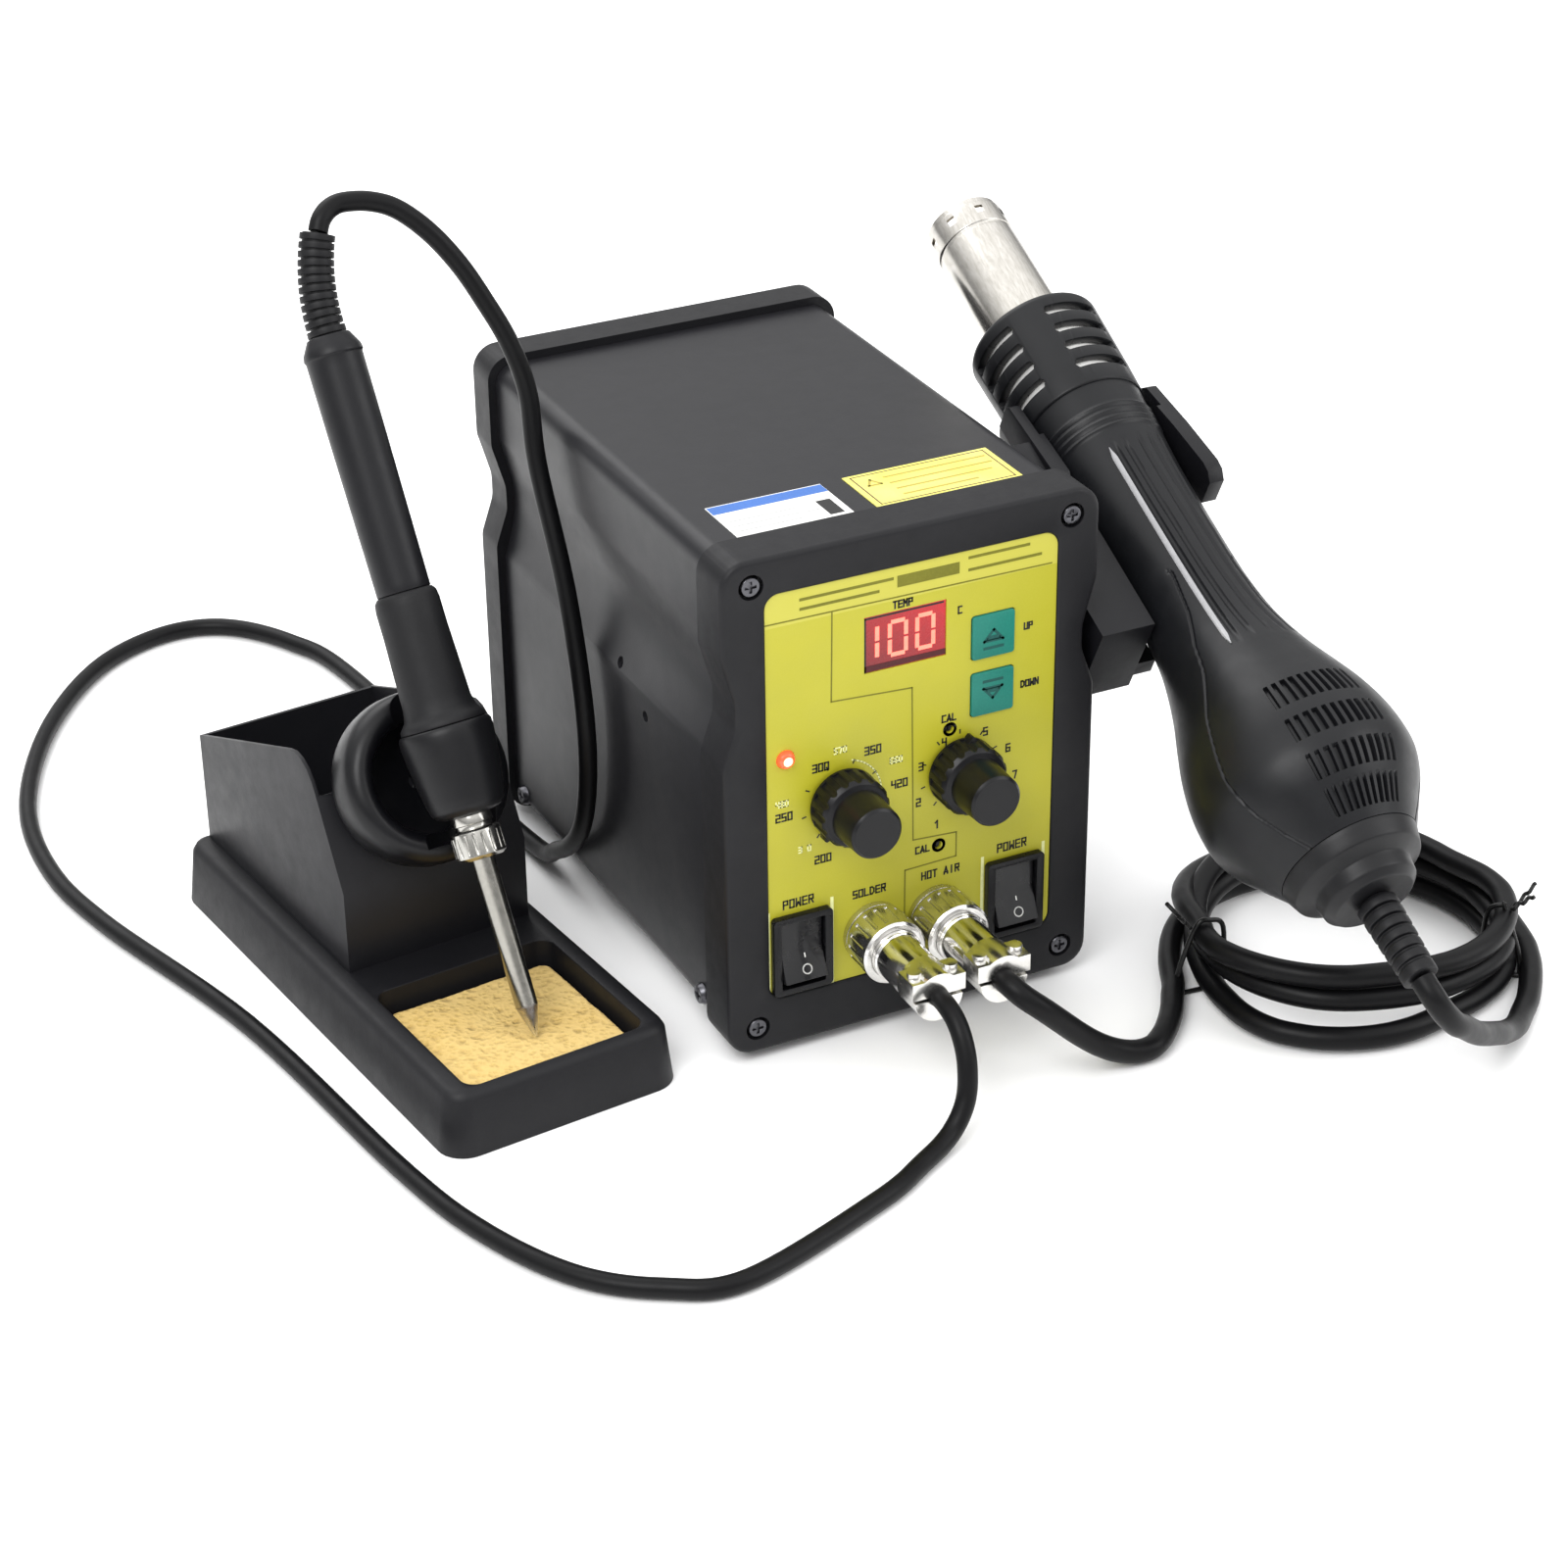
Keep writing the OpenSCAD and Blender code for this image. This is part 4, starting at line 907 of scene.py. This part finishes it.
# (distance, degrees round the barrel) of its moulded line, then the first and last degrees of each flute
SEAM = [(126, 180), (140, 126), (153, 132), (163, 141), (172, 143), (185, 152), (204, 157), (216, 155),
        (223, 151), (231, 142)]
FLUTES = [(110, 109), (99, 97), (83, 81), (70, 68), (55, 56)]
VENT_ROWS = [(188.5, 196), (200.6, 207.3), (211.7, 217.4), (220.5, 226.3)]
SHELL_WALL, FLUTES_FROM, FLUTES_TO, SEAM_FROM = 2.2, 96, 170, 139
BARREL_FROM, BARREL_TO = BARREL[0][0], BARREL[-1][0]


def between(table, s):
    """A value read off between a table's rows."""
    s = min(max(s, table[0][0]), table[-1][0])
    for (a, va), (b, vb) in zip(table, table[1:]):
        if a <= s <= b:
            return va + (vb - va) * (s - a) / (b - a)


def dip(distance, width):
    """1 in the middle of a groove, 0 beyond its width."""
    return max(0.0, 1 - (distance / width) ** 2)


def barrel_relief(angle, s, r):
    """How far the moulded surface stands above or below the plain turned barrel."""
    deg = math.degrees(angle) % 360
    out = 0.0
    for k in range(4):
        out += 0.45 * dip(s - (85.4 + 2.1 * k), 0.75)
    if FLUTES_FROM < s < FLUTES_TO:
        fade = min(1, (s - FLUTES_FROM) / 4, (FLUTES_TO - s) / 5)
        turn = (s - 98) / 67
        for first, last in FLUTES:
            across = math.radians(deg - (first + (last - first) * turn)) * r
            out -= 0.6 * fade * dip(across, 0.9)
    if s > SEAM_FROM:
        seam = between(SEAM, s)
        for line in (seam, 180 - seam):
            out -= 0.45 * dip(math.radians(deg - line) * r, 0.45)
    for low, high in VENT_ROWS:
        step = (deg - 65) / 5 if deg < 180 else (deg - 245) / 5
        if -0.5 <= step <= 10.5 and low < s < high and abs(step - round(step)) < 0.24:
            out -= 1.3
    return out


def half_barrel(name, node, start):
    """One moulded half: fine outside, plain inside."""
    columns, step = 260, 0.55
    rings = [s * step for s in range(int(BARREL_FROM / step) + 1, int(BARREL_TO / step) + 1)]
    line = [(p.x, p.y) for p in spline(BARREL, 8)]
    outer = [BARREL_FROM] + rings + [BARREL_TO]
    inner = [BARREL_TO, 214, 204, 189, 173, 157, 138, 105, BARREL_FROM]
    verts, n = [], len(outer) + len(inner)
    for k in range(columns + 1):
        a = math.radians(start + 180 * k / columns)
        for s in outer:
            r = between(line, s)
            if BARREL_FROM < s < BARREL_TO:
                r += barrel_relief(a, s, r)
            verts.append((r * math.cos(a), r * math.sin(a), s))
        for s in inner:
            r = between(line, s) - SHELL_WALL
            verts.append((r * math.cos(a), r * math.sin(a), s))
    faces = [(k * n + i, (k + 1) * n + i, (k + 1) * n + (i + 1) % n, k * n + (i + 1) % n)
             for k in range(columns) for i in range(n)]
    faces += [tuple(range(n)), tuple(columns * n + i for i in reversed(range(n)))]
    build(name, verts, faces, GUN, "gun_plastic", "gun", [node], smooth=40)


half_barrel("gun_upper_skin", "gun_upper_shell", 0)
half_barrel("gun_lower_skin", "gun_lower_shell", 180)


def ridge(name, turn, half, top):
    """The rib let into the barrel along the grip, its light grey a painted highlight."""
    verts, steps = [], 60
    line = [(p.x, p.y) for p in spline(BARREL, 8)]
    for k in range(steps + 1):
        s = 98 + 71 * k / steps
        a = math.radians(turn + 0.5 * math.sin(math.pi * k / steps))
        w = half * min(1, (k + 0.4) / 3, (steps + 0.4 - k) / 3)
        r = between(line, s)
        for across, up in ((-w, -0.6), (-w, 0.1), (-w * 0.55, top), (w * 0.55, top), (w, 0.1), (w, -0.6)):
            b = a + across / r
            verts.append(((r + up) * math.cos(b), (r + up) * math.sin(b), s))
    faces = [(6 * k + i, 6 * k + 6 + i, 6 * k + 6 + (i + 1) % 6, 6 * k + (i + 1) % 6)
             for k in range(steps) for i in range(6)]
    faces += [tuple(range(6)), tuple(6 * steps + i for i in reversed(range(6)))]
    build(name, verts, faces, GUN, "ridge_gloss_painted_highlight", "gun", slot="gun_plastic", smooth=50)


ridge("gun_ridge", 115.5, 0.75, 0.35)

GUARD = rounded([(77.4, 16.6), (77.4, 18.2), (70, 18.55), (46.4, 19.1), (45, 18.2), (45, 11.4), (47, 11.4),
                 (47.5, 16.6), (62, 16.4), (77.4, 16.6)], 0.7, 4)


def slot_cutter(middle, spread, s, half):
    """A slot round the barrel with rounded ends, as a wedge to cut with."""
    verts, faces, steps = [], [], 24
    for k in range(steps + 1):
        u = 2 * k / steps - 1
        a = math.radians(middle + spread / 2 * u)
        end = max(0.0, (abs(u) - 0.9) / 0.1)
        h = half * math.sqrt(max(0.05, 1 - end * end))
        verts += [(r * math.cos(a), r * math.sin(a), s + v) for r in (14.5, 24) for v in (-h, h)]
    for k in range(steps):
        a, b = 4 * k, 4 * k + 4
        faces += [(a, a + 1, b + 1, b), (a + 2, b + 2, b + 3, a + 3)]
        faces += [(a, b, b + 2, a + 2), (a + 1, a + 3, b + 3, b + 1)]
    return verts, faces + [(0, 2, 3, 1), (4 * steps, 4 * steps + 1, 4 * steps + 3, 4 * steps + 2)]


guard = build("heat_guard_skin", *lathe(GUARD[:-1], 180), GUN, "gun_plastic", "gun", ["heat_guard"])
slots = [slot_cutter(turn, 57, 51 + 6.5 * row, 1.5) for row in range(4) for turn in (75, 162, 255, 345)]
cut(guard, *joined(*slots), GUN)
modify(guard, "BEVEL", width=0.0003, segments=2, limit_method="ANGLE", angle_limit=math.radians(50))
finish_mesh(guard, "gun_plastic", "gun", ["heat_guard"])
# a pale sheet inside the guard, seen through its slots as a painted sheen of the pipe
build("guard_painted_sheen", *lathe([(48, 15.2), (48, 15.7), (77.2, 15.7), (77.2, 15.2)], 96),
      GUN, "liner_steel", "gun", slot="pipe_steel")

PIPE = rounded([(0, 10.5), (0, 11.1), (1.8, 11.1), (1.9, 11.5), (9, 11.5), (9.2, 11.1), (10.2, 11.1),
                (10.4, 11.4), (44, 11.4), (44, 11.3), (62, 11.3), (62, 15), (64, 15), (64, 10.4), (1, 10.4),
                (0, 10.5)], 0.25, 3)
pipe = build("nozzle_pipe_skin", *lathe(PIPE[:-1], 160), GUN, "pipe_steel", "gun", ["nozzle_pipe"])
for turn in range(4):
    cut(pipe, *block(-1.2, 1.2, -14, 14, 3.5, 6), GUN @ Matrix.Rotation(math.radians(45 * turn), 4, "Z"))
finish_mesh(pipe, "pipe_steel", "gun", ["nozzle_pipe"])

for node in ("gun_bracket", "gun_tail", "gun_relief"):
    skin(node, 0.0004, 3)

# ---- stand and iron
for node in ("stand_base", "stand_box", "holder_cup"):
    skin(node, 0.0006, 3)
for node in ("iron_tip", "iron_barrel", "iron_nut"):
    skin(node, 0.0001)
for node in ("iron_collar", "iron_grip", "iron_handle", "iron_relief"):
    skin(node, 0.0004, 3)


def sponge_skin():
    """A damp cellulose pad: loops drawn in from its edge, each point lifted or sunk by its pores."""
    rim = mirrored(arc(21.4, -20.4, 2.5, -90, 0) + arc(21.4, 20.4, 2.5, 0, 90))
    dense = []
    for (x0, y0), (x1, y1) in zip(rim, rim[1:] + rim[:1]):
        steps = max(1, round(math.hypot(x1 - x0, y1 - y0) / 0.5))
        dense += [(x0 + (x1 - x0) * k / steps, y0 + (y1 - y0) * k / steps) for k in range(steps)]
    layers = [(1, 8), (1.003, 10), (1, 11.8), (0.985, 12.7), (0.965, 13)] \
        + [(0.965 - 0.02 * k, 13) for k in range(1, 47)]
    verts = []
    for scale, z in layers:
        for x, y in dense:
            p = Vector((x * scale, y * scale, z))
            pore = noise.noise(p * 1.1) + 0.6 * noise.noise(p * 2.3)
            soft = 0.5 * noise.noise(p * 0.12)
            top = min(1, max(0, (z - 10) / 3))
            verts.append((p.x, p.y, z + top * (0.16 * pore + soft - 0.35)))
    n = len(dense)
    faces = [(i * n + k, i * n + (k + 1) % n, (i + 1) * n + (k + 1) % n, (i + 1) * n + k)
             for i in range(len(layers) - 1) for k in range(n)]
    faces += [tuple(range(n)), tuple((len(layers) - 1) * n + k for k in reversed(range(n)))]
    pad = build("sponge_skin", verts, faces, STAND @ Matrix.Translation((34.2, 31, 0)), "sponge_cell",
                "station", ["sponge"], smooth=60)


sponge_skin()

# ---- what isn't part of the object
floor_data = bpy.data.meshes.new("floor")
floor_data.from_pydata([(-6, -4, 0), (6, -4, 0), (6, 8, 0), (-6, 8, 0)], [], [(0, 1, 2, 3)])
floor = bpy.data.objects.new("floor", floor_data)
bpy.context.scene.collection.objects.link(floor)
fm = Nodes("floor_white")
fm.set("Base Color", fm.mix(fm.span(fm.noise(3, 2), 0.3, 0.7), (0.96, 0.96, 0.96), (0.99, 0.99, 0.99)))
fm.out.inputs["Roughness"].default_value = 0.6
floor.data.materials.append(fm.mat)


AIM = (0, 0, 0.05)


def lamp(name, place_at, size, power):
    """A square lamp that looks at the foot of the station."""
    data = bpy.data.lights.new(name, "AREA")
    data.size = size
    data.energy = power
    obj = bpy.data.objects.new(name, data)
    obj.location = place_at
    obj.rotation_mode = "QUATERNION"
    obj.rotation_quaternion = (Vector(AIM) - Vector(place_at)).to_track_quat("-Z", "Y")
    bpy.context.scene.collection.objects.link(obj)


lamp("key", (-0.9, -0.7, 1.3), 0.8, 14)
lamp("back", (-0.3, 1.4, 1.5), 1.4, 14)
lamp("fill", (1.3, -0.9, 0.9), 1.0, 9)

# a pale sky that darkens towards the horizon, for the metals to mirror
world = bpy.data.worlds.new("studio")
world.use_nodes = True
tree = world.node_tree
sky = tree.nodes.new("ShaderNodeTexCoord")
height = tree.nodes.new("ShaderNodeSeparateXYZ")
fade = tree.nodes.new("ShaderNodeMapRange")
fade.inputs["From Min"].default_value = 0.05
fade.inputs["From Max"].default_value = 0.85
fade.inputs["To Min"].default_value = 0.32
fade.inputs["To Max"].default_value = 1.75
tree.links.new(sky.outputs["Generated"], height.inputs[0])
tree.links.new(height.outputs["Z"], fade.inputs["Value"])
tree.links.new(fade.outputs["Result"], tree.nodes["Background"].inputs["Strength"])
tree.nodes["Background"].inputs["Color"].default_value = (1, 1, 1, 1)
bpy.context.scene.world = world

# the nodes that keep their CAD shape
for name, obj in NODES.items():
    if not obj.hide_render:
        obj.data.materials.clear()
        obj.data.materials.append(MATS[SLOT[name]])
